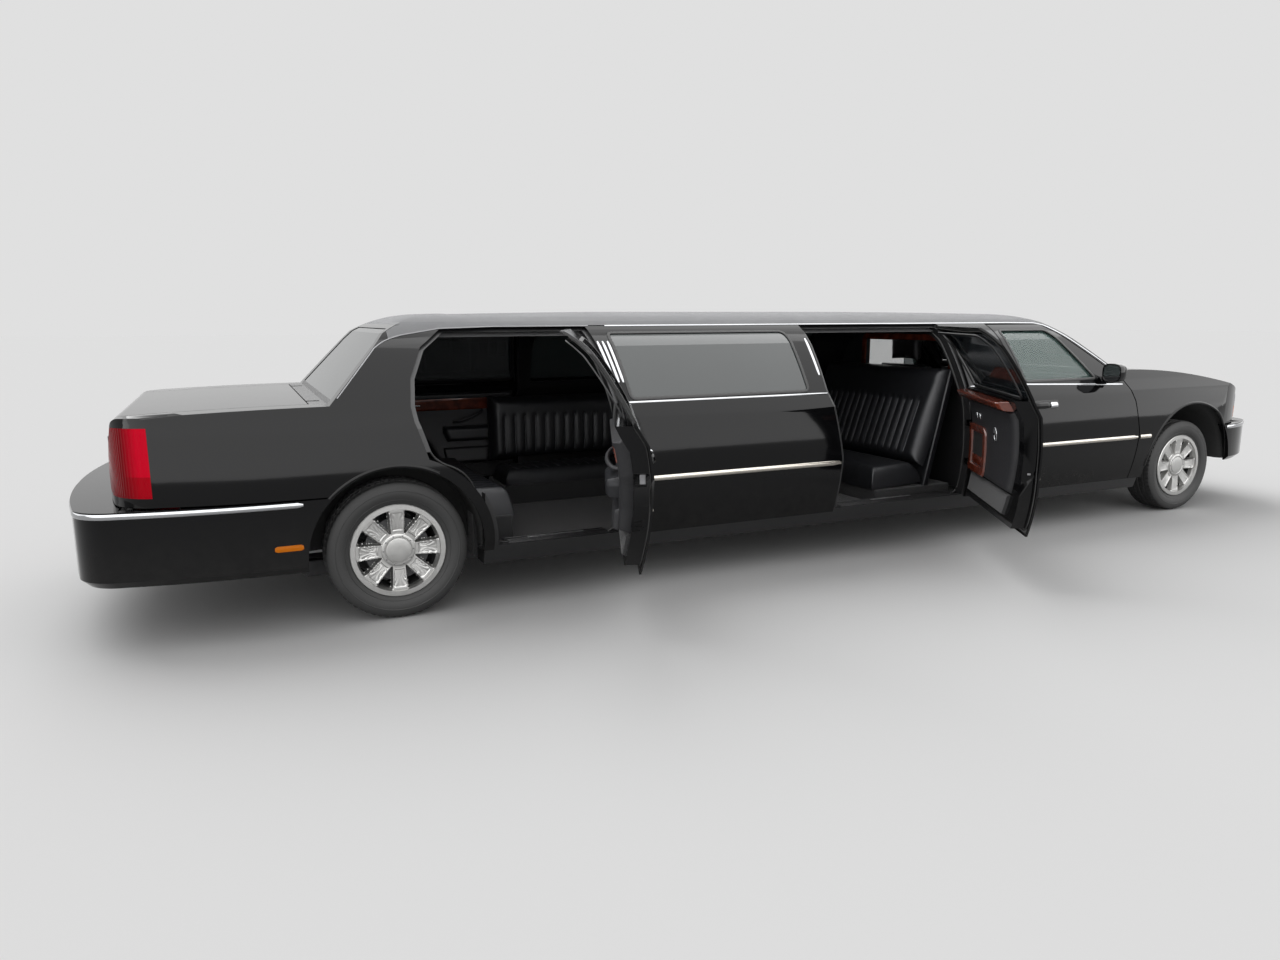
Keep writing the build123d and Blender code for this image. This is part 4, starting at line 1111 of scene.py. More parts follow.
@dataclass
class DoorFurniture:
    """Outside handles and mirror glasses."""

    height: float = 0.880
    # columns: door stem, first and last x of its handle
    handles: tuple = (("door_rear", 0.215, 0.455), ("door_middle", 2.655, 2.895), ("door_front", 4.190, 4.430))
    # y and z of the right mirror's middle
    mirror_at: tuple = (-1.019, 1.083)
    # columns: x of the mirror's shell and of its glass, size there
    shell: tuple = ((4.8760, 0.84), (4.8715, 0.93), (4.8730, 1.0), (4.900, 1.0), (4.930, 0.95), (4.952, 0.82),
                    (4.963, 0.60), (4.966, 0.25))
    glass: tuple = ((4.8745, 1.0), (4.8735, 0.1))

    def handle(self, stem: str, side: Side, first: float, last: float) -> None:
        """A dark recess with a painted flap over most of it and a bright lock plate at its front."""
        body = f"{stem}_{side.value}"
        cup = Shape().trail(line(first, last, self.height, self.height), 0.066, 0.0022, RIBBON, taper=0.6)
        piece(f"handle_cup_{body}", side.shape(cup), SEAL, body)
        for name, start, end, finish, slot in (("flap", first + 0.014, first + 0.150, PAINT, "body_paint"),
                                               ("lock", first + 0.156, last - 0.016, CHROME, "chrome")):
            x = np.linspace(start, end, 16)
            bow = 0.010 * np.clip(1.1 - (2 * (x - start) / (end - start) - 1) ** 4, 0, 1)
            path = FLANK.point(x, self.height, -bow)
            pull = Shape().strip(path, FLANK.outward(self.height), 0.040, 0.010, taper=0.6)
            piece(f"handle_{name}_{body}", side.shape(pull), finish, body)

    def loft(self, rows: tuple, half_width: float, half_height: float) -> Shape:
        """A closed form of rings |y / a|^3.2 + |z / b|^3.2 = 1 round the mirror's middle, each at its x and size."""
        turn = turns(40)[None]
        wide, tall = (np.sign(wave) * np.abs(wave) ** 0.62 for wave in (np.cos(turn), np.sin(turn)))
        x, size = np.hsplit(np.array(rows), 2)
        y, z = self.mirror_at
        rings = surface(x, y + half_width * wide * size, z + half_height * tall * size)
        return Shape().grid(rings, loop_columns=True, caps=True)

    def mirror(self, side: Side) -> None:
        """A rounded shell that narrows forwards, its foot on the door, and the glass at its back."""
        body = f"door_front_{side.value}"
        shell = self.loft(self.shell, 0.073, 0.064).block((4.895, -0.985, 1.010), (4.945, -0.915, 1.045))
        piece(f"mirror_shell_{side.value}", side.shape(shell), PAINT, body)
        glass = self.loft(self.glass, 0.063, 0.054)
        piece(f"mirror_glass_{side.value}", side.shape(glass), MIRROR, body)

    def build(self) -> None:
        """Every door's handle, and both mirrors."""
        for stem, first, last in self.handles:
            for side in Side:
                if side.has(stem):
                    self.handle(stem, side, first, last)
        for side in Side:
            self.mirror(side)


@dataclass
class Bumpers:
    """Bright strips round both bumpers, and amber side reflectors."""

    # height of the strips, and how many rays find each one's path
    strip_height: float = 0.627
    rays: int = 140
    # middle x and height of the right rear reflector
    reflector: tuple = (-0.502, 0.429)

    def wrap(self, name: str, node: str, centre: float, first: float, last: float) -> None:
        """A strip round a bumper where rays towards a centre meet it.

        Args:
            name: the piece's name.
            node: the bumper's CAD node.
            centre: x of the centre that the rays aim for.
            first: angle of the first ray from +X, in degrees.
            last: angle of the last ray.
        """
        turn = np.radians(np.linspace(first, last, self.rays))
        aim = -np.stack([np.cos(turn), np.sin(turn), np.zeros(self.rays)], 1)
        start = np.array([centre, 0, self.strip_height]) - aim * 2.0
        skin = Skin(node)
        found = [skin.hit(here, way[None]) for here, way in zip(start, aim)]
        path = np.concatenate([pair[0] for pair in found if len(pair[0])])
        normals = -aim[:len(path)]
        shape = Shape().strip(path, normals, 0.026, 0.006, taper=0.5)
        piece(name, shape, CHROME)

    def reflectors(self) -> None:
        """Amber reflectors low on the rear bumper's flanks."""
        x, height = self.reflector
        skin = Skin("rear_bumper")
        run = np.linspace(x - 0.062, x + 0.062, 12)
        start = np.stack([run, np.full(12, -1.5), np.full(12, height)], 1)
        path = np.concatenate([skin.hit(point, np.array([[0.0, 1.0, 0.0]]))[0] for point in start])
        shape = Shape().strip(path, (0.0, -1.0, 0.0), 0.028, 0.006, taper=0.6).both()
        piece("reflector_rear", shape, AMBER)

    def build(self) -> None:
        """Strips and reflectors."""
        self.wrap("bumper_strip_rear", "rear_bumper", -0.43, 270, 90)
        self.wrap("bumper_strip_front", "front_bumper", 6.25, -90, 90)
        self.reflectors()


@dataclass
class Arches:
    """Lips round the wheel openings and dark wheelhouses inside them."""

    # columns: name, wheel x, lip radius, wheelhouse radius, its inner wall's distance from the centre plane, its two
    # end angles
    table: tuple = (("rear", 0.0, 0.430, 0.428, 0.648, -4, 184), ("front", WHEELBASE, 0.488, 0.478, 0.500, 3, 184))

    def build(self) -> None:
        """Wheelhouse: radius r + 0.036 at the skin, straight in to the wall, then down to a small circle."""
        for name, x, lip, house, wall, first, last in self.table:
            turn = np.radians(np.linspace(5, 175, 40) if name == "front" else np.linspace(62, 142, 26))
            run = np.stack([x + lip * np.cos(turn), AXLE_HEIGHT + lip * np.sin(turn)], 1)
            turn = np.radians(np.linspace(first, last, 46))[:, None]
            # columns: distance from the centre plane, radius
            profile = np.array([(0.945, house + 0.036), (0.925, house + 0.030), (0.905, house + 0.008),
                                (0.880, house), (wall + 0.02, house), (wall, house - 0.02), (wall, 0.16)])
            across, radius = -profile[None, :, 0], profile[None, :, 1]
            liner = surface(x + radius * np.cos(turn), across, AXLE_HEIGHT + radius * np.sin(turn))
            for side in Side:
                rim = side.shape(Shape().trail(run, 0.020, 0.005))
                piece(f"arch_lip_{name}_{side.value}", rim, PAINT)
                piece(f"arch_liner_{name}_{side.value}", side.shape(Shape().grid(liner)), SHADOW)


@dataclass
class Rails:
    """The two frame rails, rising at both ends of the car, where the plain solids run level."""

    half_width: float = 0.030
    height: float = 0.083
    middle_y: float = 0.450
    # columns: x, height of the underside
    path: tuple = ((-1.180, 0.330), (-0.620, 0.310), (-0.400, 0.141), (2.0, 0.141), (5.28, 0.141), (5.55, 0.225),
                   (5.90, 0.235), (6.12, 0.300), (6.500, 0.330))

    def build(self) -> None:
        """A box section carried along each rail's line."""
        box = rectangle(-self.half_width, self.half_width, 0, self.height)
        rings = [[(x, self.middle_y + y, low + z) for y, z in box] for x, low in self.path]
        shape = Shape().grid(np.array(rings), loop_columns=True, caps=True).both()
        piece("rails", shape, IRON, bevel=0.004, replaces=["frame_rails"])


@dataclass
class Header:
    """Middle of the windscreen's header, between the two side frames' own ends."""

    half_width: float = 0.301
    # columns: x, z round the section
    section: tuple = ((4.400, 1.4235), (4.619, 1.4395), (4.633, 1.4348), (4.640, 1.4320), (4.6505, 1.4245),
                      (4.636, 1.4245), (4.636, 1.403), (4.400, 1.403))

    def build(self) -> None:
        """The section carried straight across the car."""
        shape = Shape().prism(self.section, -self.half_width, self.half_width)
        piece("windscreen_header", shape, SATIN)


@dataclass
class FrontEnd:
    """Upright bars and surround of the grille."""

    face: float = 6.6445
    half_width: float = 0.316
    low: float = 0.702
    high: float = 0.842
    bars: int = 15

    def build(self) -> None:
        """The grille's bars, each a slim rounded strip, and a rounded frame."""
        ahead = (1.0, 0.0, 0.0)
        half = self.half_width
        shape = Shape()
        for y in np.linspace(-half + 0.02, half - 0.02, self.bars):
            run = line(y, y, self.low, self.high, 5)
            shape.strip(np.insert(run, 0, self.face, axis=1), ahead, 0.0065, 0.009)
        outline = refined(rounded(rectangle(-half, half, self.low, self.high), 0.02, 5), 0.06)
        shape.strip(np.insert(outline, 0, self.face, axis=1), ahead, 0.022, 0.012, closed=True)
        piece("grille_bars", shape, CHROME)


@dataclass
class Lamps:
    """Side wings of the head lamps."""

    # columns: height, first x, last x of the head lamp's wing on the fender
    wing: tuple = ((0.676, 6.520, 6.628), (0.745, 6.512, 6.628), (0.850, 6.500, 6.626), (0.872, 6.506, 6.618))

    def build(self) -> None:
        """Both sides."""
        for side in Side:
            shape = Shape().panel(self.wing, 0.0005, -0.006, 0.010, 26)
            piece(f"headlamp_wing_{side.value}", side.shape(shape), LAMP_CLEAR)


@dataclass
class Wheels:
    """Treaded tyres and cast rims with eight inlaid spokes and a plain domed cap."""

    groove: float = 0.007
    pitches: int = 64
    spokes: int = 8
    # radius of the circle that the small nuts stand on
    nut_circle: float = 0.0732
    # a spoke's half width at 90 mm from the axle, and how that grows with the radius
    spoke_half: float = 0.0310
    spoke_growth: float = 0.06
    # how deep the face falls beside a spoke, and over what width
    spoke_drop: float = 0.034
    spoke_side: float = 0.005
    # depth of the inlay, how far it stays inside the spoke's edge, and height and pitch of its ribs
    inlay_depth: float = 0.003
    inlay_margin: float = 0.0085
    rib_height: float = 0.0006
    rib_pitch: float = 0.0045
    # columns: distance from the tyre's middle, radius
    profile: tuple = ((-0.088, 0.2125), (-0.092, 0.238), (-0.106, 0.262), (-0.1125, 0.285), (-0.1115, 0.305),
                      (-0.1085, 0.3175), (-0.1045, 0.328), (-0.098, 0.3375), (-0.090, 0.3418), (-0.066, 0.3437),
                      (-0.063, 0.3368), (-0.055, 0.3368), (-0.052, 0.3445), (-0.025, 0.345), (-0.022, 0.3375),
                      (-0.013, 0.3375), (-0.010, 0.345))

    def tyre(self, end: str, side: Side) -> None:
        """Radius R(a, s) = R(s), less a groove where the pitch wave at angle a and shift s is low on the tread."""
        table = np.array(self.profile)
        table = np.concatenate([table, (table * (-1, 1))[::-1]])
        steps = np.concatenate([np.linspace(a, b, 3)[:-1] for a, b in zip(table[:-1], table[1:])] + [table[-1:]])
        angle = turns(self.pitches * 5)[:, None]
        along, radius = steps[None, :, 0], steps[None, :, 1]
        phase = (angle * self.pitches / math.tau + np.abs(along) * 9) % 1
        tread = (radius > 0.3385) & (np.abs(along) > 0.012) & (phase < 0.24)
        reach = radius - self.groove * 0.8 * tread
        centre = middle(f"tyre_{end}_{side.value}") - ORIGIN
        sheet = surface(centre[0] + reach * np.cos(angle), centre[1] + along, centre[2] + reach * np.sin(angle))
        shape = Shape().grid(sheet, loop_rows=True)
        for place, wide in ((0.300, 0.0016), (0.255, 0.0022)):
            for flip in (-1, 1):
                at = np.interp(place, table[:8, 1], table[:8, 0]) * flip
                ring = [(at, place - 0.003), (at + flip * -wide, place), (at, place + 0.003)]
                shape.revolve(ring, centre, 72)
        piece(f"tyre_tread_{end}_{side.value}", shape, RUBBER, f"wheel_{end}_{side.value}", sharp=35,
              replaces=[f"tyre_{end}_{side.value}"])

    def rim(self, end: str, side: Side) -> None:
        """Cast rim: flange and barrel turned from a profile, and a face h(r, a) with eight spokes.

        With t = r sin(a - a_k) the distance from a spoke's middle line, the face stands at full height where |t| is
        under half the spoke's width, drops 3 mm in the spoke's inlay, falls 34 mm over 5 mm beside the spoke, and is
        open beyond.
        """
        low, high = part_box(f"rim_{end}_{side.value}")
        centre = middle(f"rim_{end}_{side.value}") - ORIGIN
        out = -1 if side is Side.RIGHT else 1
        # turns a profile's distances, which count outwards, to this side
        way = (out, 1)
        body = f"wheel_{end}_{side.value}"
        half = abs(high[1] - low[1]) / 2
        barrel = np.array([(half, 0.2065), (half, 0.2300), (half - 0.004, 0.2335), (half - 0.007, 0.2325),
                           (half - 0.011, 0.2122), (0.011 - half, 0.2122), (0.007 - half, 0.2330), (-half, 0.2330),
                           (-half, 0.206), (0.012 - half, 0.199), (half - 0.026, 0.199), (half - 0.010, 0.2035),
                           (half, 0.2065)])
        shape = Shape().revolve(barrel * way, centre, 96)
        radius = np.concatenate([np.linspace(0.060, 0.088, 6), np.linspace(0.0905, 0.190, 26),
                                 np.linspace(0.193, 0.2045, 5)])
        turn = turns(self.spokes * 36)
        r, a = radius[None], turn[:, None]
        step = math.tau / self.spokes
        off = np.abs(r * np.sin((a + step / 2) % step - step / 2))
        width = self.spoke_half + self.spoke_growth * (r - 0.09)
        beside = np.clip((off - width) / self.spoke_side, 0, 1)
        hub = np.clip((0.0935 - r) / 0.006, 0, 1)
        edge = np.clip((r - 0.1965) / 0.006, 0, 1)
        drop = beside * (1 - hub) * (1 - edge)
        inlay = (off < width - self.inlay_margin) & (r > 0.100) & (r < 0.190)
        ribs = self.rib_height * np.sin(off * math.tau / self.rib_pitch) * inlay
        dish = 0.017 - 0.008 * np.clip((r - 0.09) / 0.11, 0, 1)
        face = half - dish - self.spoke_drop * drop - self.inlay_depth * inlay + ribs
        sheet = surface(centre[0] + r * np.cos(a), centre[1] + out * face, centre[2] + r * np.sin(a))
        before = len(shape.faces)
        shape.grid(sheet, loop_rows=True)
        deep = np.concatenate([np.zeros(shape.count - drop.size, bool), (drop > 0.98).ravel()])
        shape.faces = [f for k, f in enumerate(shape.faces) if k < before or not deep[f].all()]
        piece(f"rim_cast_{end}_{side.value}", shape, ALLOY, body, sharp=28,
              replaces=[f"rim_{end}_{side.value}"])
        dome = np.array([(half - 0.0190, 0.0835), (half - 0.0125, 0.0820), (half - 0.0110, 0.0785),
                         (half - 0.0110, 0.0680), (half - 0.0140, 0.0655), (half - 0.0140, 0.0630),
                         (half - 0.0095, 0.0610), (half - 0.0080, 0.0520), (half - 0.0075, 0.0200),
                         (half - 0.0075, 0.0)])
        piece(f"cap_{end}_{side.value}", Shape().revolve(dome * way, centre, 64), ALLOY, body)
        # a near-black sleeve lining the alloy barrel behind the spokes: painted shade
        sleeve = np.array([(half - 0.036, 0.1982), (0.013 - half, 0.1982)])
        piece(f"rim_shade_{end}_{side.value}", Shape().revolve(sleeve * way, centre, 64), SHADOW, body)
        plate = np.array([(0.0415, 0.060), (0.0475, 0.060), (0.0475, 0.158), (0.0415, 0.158), (0.0415, 0.060)])
        bell = np.array([(0.0500, 0.0), (0.0500, 0.055), (0.0415, 0.060), (0.0415, 0.0)])
        disc = Shape().revolve(plate * way, centre, 64).revolve(bell * way, centre, 40)
        piece(f"brake_disc_{end}_{side.value}", disc, IRON, body)
        stud = np.array([(half - 0.0115, 0.0042), (half - 0.0095, 0.0036), (half - 0.0090, 0.0)])
        nuts = Shape()
        for place in np.radians(np.arange(10) * 36.0):
            at = centre + self.nut_circle * np.array([math.cos(place), 0, math.sin(place)])
            nuts.revolve(stud * way, at, 10)
        piece(f"nuts_{end}_{side.value}", nuts, STEEL, body)

    def build(self) -> None:
        """All four wheels."""
        for end in ("front", "rear"):
            for side in Side:
                self.tyre(end, side)
                self.rim(end, side)


# Doors' insides, sills and cabin


def inner(x: Array, z: Array | float, depth: float) -> tuple[Array, Array]:
    """Points on a door's inner face at a depth, and the normals that point into the cabin."""
    return FLANK.point(x, z, depth), -FLANK.outward(z)


@dataclass(frozen=True)
class DoorTable:
    """One door's trim sizes, in the car frame with the door closed."""

    stem: str
    outline: tuple
    window: tuple
    # columns: height, first x, last x of the padded panel, of the low carpet and of the wooden cap
    panel: tuple
    kick: tuple
    cap: tuple
    # middle x, height, half width, half height of the pull's cup
    cup: tuple
    # x and height of the latch
    latch: tuple


DOOR_TABLES = (
    DoorTable("door_middle", MIDDLE_DOOR, MIDDLE_WINDOW,
              ((0.500, 2.790, 3.595), (0.700, 2.735, 3.600), (0.885, 2.700, 3.600), (0.968, 2.690, 3.600)),
              ((0.375, 2.810, 3.580), (0.492, 2.792, 3.590)), ((0.966, 2.690, 3.605), (1.022, 2.690, 3.605)),
              (3.050, 0.800, 0.024, 0.040), (2.668, 0.633)),
    DoorTable("door_rear", REAR_DOOR, REAR_WINDOW,
              ((0.470, 0.590, 1.130), (0.610, 0.520, 1.130), (0.745, 0.400, 1.130), (0.800, 0.300, 1.130),
               (0.968, 0.195, 1.130)),
              ((0.360, 0.600, 1.120), (0.462, 0.592, 1.130)), ((0.845, 0.340, 0.940), (0.930, 0.340, 1.000)),
              (0.440, 0.885, 0.050, 0.024), (0.235, 0.800)),
    DoorTable("door_front", FRONT_DOOR, FRONT_WINDOW,
              ((0.470, 4.190, 5.150), (0.800, 4.185, 5.110), (0.968, 4.180, 5.040)),
              ((0.365, 4.195, 5.150), (0.462, 4.190, 5.150)), ((0.900, 4.250, 5.000), (0.960, 4.250, 4.980)),
              (4.900, 0.850, 0.045, 0.022), (4.158, 0.633)),
)


@dataclass
class DoorTrims:
    """Padded panels, wood, seals and latches on the doors' insides."""

    face: float = 0.0855
    # thickness of the padded panel by door
    pads: tuple = (("door_middle", 0.034), ("door_rear", 0.060), ("door_front", 0.046))
    panel_depth: float = 0.119
    # inset, depth and radius of the seal, and depth of the garnish
    seal_inset: float = 0.027
    seal_depth: float = 0.0143
    seal_radius: float = 0.0032
    garnish_depth: float = 0.0345

    def panels(self, table: DoorTable, side: Side, body: str) -> None:
        """The padded panel, its low carpet and the wooden cap."""
        shape = Shape().panel(table.panel, self.face, self.panel_depth - self.face, 0.035, 34)
        piece(f"door_panel_{body}", side.shape(shape), DOOR_TRIM, body)
        shape = Shape().panel(table.kick, self.face, 0.020, 0.015, 18)
        piece(f"door_carpet_{body}", side.shape(shape), CARPET, body)
        thick = 0.062 if table.stem == "door_middle" else 0.012
        depth = self.face if table.stem == "door_middle" else self.panel_depth - 0.004
        shape = Shape().panel(table.cap, depth, thick, 0.016, 20)
        piece(f"door_wood_{body}", side.shape(shape), WOOD, body)

    def seal(self, table: DoorTable, side: Side, body: str) -> None:
        """Rubber seal round the door's edge, and the garnish round its window."""
        ring = shrunk(table.outline, 0.05, self.seal_inset)
        shape = Shape().tube(FLANK.point(*ring.T, self.seal_depth), self.seal_radius, 8, True)
        piece(f"door_seal_{body}", side.shape(shape), SEAL, body)
        window = refined(rounded(table.window, 0.04), 0.04)
        shape = Shape().strip(*inner(*window.T, self.garnish_depth), 0.020, 0.006, RIBBON, closed=True)
        piece(f"window_garnish_{body}", side.shape(shape), SATIN, body)

    def pull(self, table: DoorTable, side: Side, body: str) -> None:
        """A bright ring round a dark cup with the release lever in it."""
        x, z, wide, tall = table.cup
        turn = turns(28)
        path, normals = inner(x + wide * np.cos(turn), z + tall * np.sin(turn), self.panel_depth)
        shape = Shape().strip(path, normals, 0.007, 0.004, closed=True)
        rows = [(z - tall * 0.8, x - wide * 0.7, x + wide * 0.7), (z, x - wide, x + wide),
                (z + tall * 0.8, x - wide * 0.7, x + wide * 0.7)]
        cup = Shape().panel(rows, self.panel_depth - 0.002, 0.0035, 0.004, 9)
        run = np.linspace(x - wide * 0.7, x + wide * 0.7, 9)
        path, normals = inner(run, z, self.panel_depth + 0.003)
        shape.strip(path, normals, 0.014, 0.007, taper=0.6)
        piece(f"door_pull_{body}", side.shape(shape), CHROME, body)
        piece(f"door_cup_{body}", side.shape(cup), SEAL, body)

    def latch(self, table: DoorTable, side: Side, body: str) -> None:
        """The latch's steel face on the shut face."""
        x, z = table.latch
        y = -float(FLANK.half(np.array(z)))
        low, high = (x - 0.004, y + 0.034, z - 0.028), (x + 0.003, y + 0.060, z + 0.028)
        shape = Shape().block(low, high)
        shape.block((x - 0.0055, y + 0.0375, z - 0.006), (x + 0.003, y + 0.0565, z + 0.006))
        piece(f"door_latch_{body}", side.shape(shape), STEEL, body, bevel=0.0015)

    def middle_extras(self, body: str) -> None:
        """The wooden frame of the middle door's pocket, and the two switches above it."""
        depth = self.panel_depth - 0.004
        outline = refined(rounded(rectangle(3.265, 3.575, 0.535, 0.790), 0.015, 4), 0.03)
        shape = Shape().strip(*inner(*outline.T, depth), 0.048, 0.016, RIBBON, closed=True)
        rows = [(0.560, 3.292, 3.550), (0.590, 3.292, 3.550), (0.625, 3.292, 3.550)]
        shape.panel(rows, depth, 0.012, 0.05, 10)
        piece("pocket_frame", shape, WOOD, body)
        rows = [(0.600, 3.290, 3.552), (0.768, 3.290, 3.552)]
        piece("pocket_net", Shape().panel(rows, self.panel_depth - 0.003, 0.004, 0.004, 10), SEAL, body)
        shape = Shape()
        for x in (3.360, 3.425):
            run = np.linspace(x - 0.012, x + 0.012, 7)
            path, normals = inner(run, 0.872, self.panel_depth - 0.002)
            shape.strip(path, normals, 0.040, 0.012, taper=0.6)
        piece("pocket_switches", shape, CHROME, body)

    def arm_extras(self, table: DoorTable, side: Side, body: str) -> None:
        """Padded armrest with its curved pull, and the map pocket below, on rear and front doors."""
        first, last = table.panel[0][1], table.panel[0][2]
        low = first + 0.06 if table.stem == "door_rear" else first + 0.12
        rows = [(0.625, low, last - 0.16), (0.690, low - 0.03, last - 0.14), (0.735, low - 0.03, last - 0.14)]
        shape = Shape().panel(rows, self.panel_depth - 0.006, 0.070, 0.030, 24)
        arm = piece(f"door_arm_{body}", side.shape(shape), LEATHER, body)
        run = np.linspace(0, 1, 16)
        x = low + 0.05 + run * 0.20
        path, normals = inner(x, 0.760 + 0.075 * run, self.panel_depth - 0.004)
        path = path + normals * (0.050 * np.sin(math.pi * run) ** 0.5)[:, None]
        piece(f"door_grip_{body}", side.shape(Shape().tube(path, 0.012)), DOOR_TRIM, body)
        rows = [(0.475, first + 0.05, last - 0.20), (0.560, first + 0.03, last - 0.18),
                (0.585, first + 0.03, last - 0.18)]
        shape = Shape().panel(rows, self.panel_depth - 0.004, 0.028, 0.02, 18)
        piece(f"map_pocket_{body}", side.shape(shape), DOOR_TRIM, body)

    def build(self) -> None:
        """Every door."""
        for table in DOOR_TABLES:
            for side in Side:
                if not side.has(table.stem):
                    continue
                body = f"{table.stem}_{side.value}"
                self.panel_depth = self.face + dict(self.pads)[table.stem]
                self.panels(table, side, body)
                self.seal(table, side, body)
                self.pull(table, side, body)
                self.latch(table, side, body)
                if table.stem == "door_middle":
                    self.middle_extras(body)
                else:
                    self.arm_extras(table, side, body)


@dataclass
class Openings:
    """Seals round the door openings and plates on their sills."""

    sill: float = 0.3155
    seal_inset: float = 0.016
    seal_depth: float = 0.070
    seal_radius: float = 0.0055
    # columns: name, first x, last x of the sill plate
    plates: tuple = (("rear", 0.560, 1.140), ("middle", 2.680, 3.600), ("front", 4.190, 5.150))

    def seals(self, side: Side) -> None:
        """A rubber bead round each opening."""
        for table in DOOR_TABLES:
            if side.has(table.stem):
                ring = shrunk(table.outline, 0.07, self.seal_inset)
                shape = Shape().tube(FLANK.point(*ring.T, self.seal_depth), self.seal_radius, 8, True)
                piece(f"opening_seal_{table.stem}_{side.value}", side.shape(shape), SEAL)

    def sills(self, side: Side) -> None:
        """Ribbed plates along the sills with a bright scuff strip."""
        for name, first, last in self.plates:
            if not side.has(name):
                continue
            shape = Shape().block((first, -0.915, self.sill), (last, -0.800, self.sill + 0.0035))
            for y in (-0.905, -0.880, -0.855, -0.815):
                shape.block((first + 0.01, y - 0.004, self.sill + 0.003),
                            (last - 0.01, y + 0.004, self.sill + 0.0075))
            piece(f"sill_plate_{name}_{side.value}", side.shape(shape), SATIN, bevel=0.0015)
            x = (first + last) / 2
            shape = Shape().block((x - 0.16, -0.846, self.sill + 0.003), (x + 0.16, -0.824, self.sill + 0.006))
            piece(f"scuff_plate_{name}_{side.value}", side.shape(shape), SCUFFED, bevel=0.001)

    def build(self) -> None:
        """Both sides."""
        for side in Side:
            self.seals(side)
            self.sills(side)


@dataclass
class Pad:
    """One stuffed cushion: a crowned closed form with sewn flutes."""

    name: str
    corner: tuple
    across: tuple
    along: tuple
    up: tuple
    thick: float
    edge: float = 0.055
    crown: float = 0.012
    pitch: float = 0.0
    flutes: tuple = (0.0, 1.0)
    margin: float = 0.11
    depth: float = 0.013
    # width over which the surface rolls down to its outermost seams, and share of the length in which flutes fade out
    roll: float = 0.014
    fade: float = 0.05
    fill: float = 0.8
    # set by shape_up: places of the grid's lines across and along, and the form's points and faces
    u: Array = field(init=False)
    v: Array = field(init=False)
    points: Array = field(init=False)
    faces: list = field(init=False)

    def axis(self, length: float, step: float, marks: Sequence[float] = ()) -> Array:
        """Places along one side, closer together near its ends.

        Ends follow edge (1 - cos t); the middle is even, with extra places at the marks.
        """
        rim = self.edge * (1 - np.cos(np.linspace(0, math.pi / 2, 8)))
        rim = rim[rim < length / 2 - 1e-3]
        inside = np.linspace(rim[-1], length - rim[-1], max(3, int((length - 2 * rim[-1]) / step)))[1:-1]
        places = np.concatenate([rim, inside, (length - rim)[::-1]])
        for mark in marks:
            places[np.argmin(np.abs(places - mark))] = mark
        return np.sort(places)

    def seams(self) -> Array:
        """Places of the seams across the width."""
        wide = float(np.linalg.norm(self.across))
        if not self.pitch:
            return np.zeros(0)
        count = int(round((wide - 2 * self.margin) / self.pitch))
        return np.linspace(self.margin, wide - self.margin, count + 1)

    def shape_up(self) -> None:
        """Fills the grid and the form.

        Top P = corner + u across + v along + up (thick (1 - (1 - d/edge)^2)^0.5 + crown), d the distance from the
        border; the underside is flat.
        """
        wide, long = (float(np.linalg.norm(vector)) for vector in (self.across, self.along))
        self.u = self.axis(wide, 0.0115, self.seams())
        self.v = self.axis(long, 0.016)
        u, v = self.u[:, None], self.v[None]
        border = np.minimum(np.minimum(u, wide - u), np.minimum(v, long - v))
        full = np.clip(border / self.edge, 0, 1)
        bulge = self.crown * np.sqrt(np.clip(np.sin(math.pi * u / wide) * np.sin(math.pi * v / long), 0, 1))
        rise = self.thick * np.sqrt(1 - (1 - full) ** 2) + bulge
        across, along, up = (np.array(vector, float) for vector in (self.across, self.along, self.up))
        flat = np.array(self.corner) + (u / wide)[..., None] * across + (v / long)[..., None] * along
        top = flat + rise[..., None] * up
        rows, columns = border.shape
        index = np.arange(rows * columns).reshape(rows, columns)
        below = index.copy()
        below[1:-1, 1:-1] = rows * columns + np.arange((rows - 2) * (columns - 2)).reshape(rows - 2, columns - 2)
        self.faces = quads(index).tolist() + quads(below)[:, ::-1].tolist()
        self.points = np.concatenate([top.reshape(-1, 3), flat[1:-1, 1:-1].reshape(-1, 3)])

    def sew(self) -> None:
        """Flutes: depth (|sin(pi s / pitch)|^0.6 - 1) between the margins, fading out at the flutes' ends."""
        if not self.pitch:
            return
        seams = self.seams()
        pitch = seams[1] - seams[0]
        long = float(np.linalg.norm(self.along))
        wave = np.abs(np.sin(math.pi * (self.u - seams[0]) / pitch)) ** 0.6 - 1
        wave = np.where((self.u >= seams[0] - 1e-6) & (self.u <= seams[-1] + 1e-6), wave, 0.0)
        wave = np.where(self.u < seams[0], -np.exp(-((self.u - seams[0]) / self.roll) ** 2), wave)
        wave = np.where(self.u > seams[-1], -np.exp(-((self.u - seams[-1]) / self.roll) ** 2), wave)
        share = self.v / long
        first, last = (np.clip(away / self.fade, 0, 1) for away in (share - self.flutes[0], self.flutes[1] - share))
        push = self.depth * wave[:, None] * (first * last)[None]
        count = len(self.u) * len(self.v)
        self.points[:count] += push.reshape(-1, 1) * np.array(self.up)

    def piping(self) -> Shape:
        """Pale cord along every seam, on the sewn surface."""
        shape = Shape()
        surface = self.points[:len(self.u) * len(self.v)].reshape(len(self.u), len(self.v), 3)
        share = self.v / float(np.linalg.norm(self.along))
        rows = (share > self.flutes[0] + 0.02) & (share < self.flutes[1] - 0.02)
        for mark in self.seams():
            path = surface[np.argmin(np.abs(self.u - mark)), rows]
            shape.tube(path + np.array(self.up) * 0.0015, 0.0027, 6)
        return shape


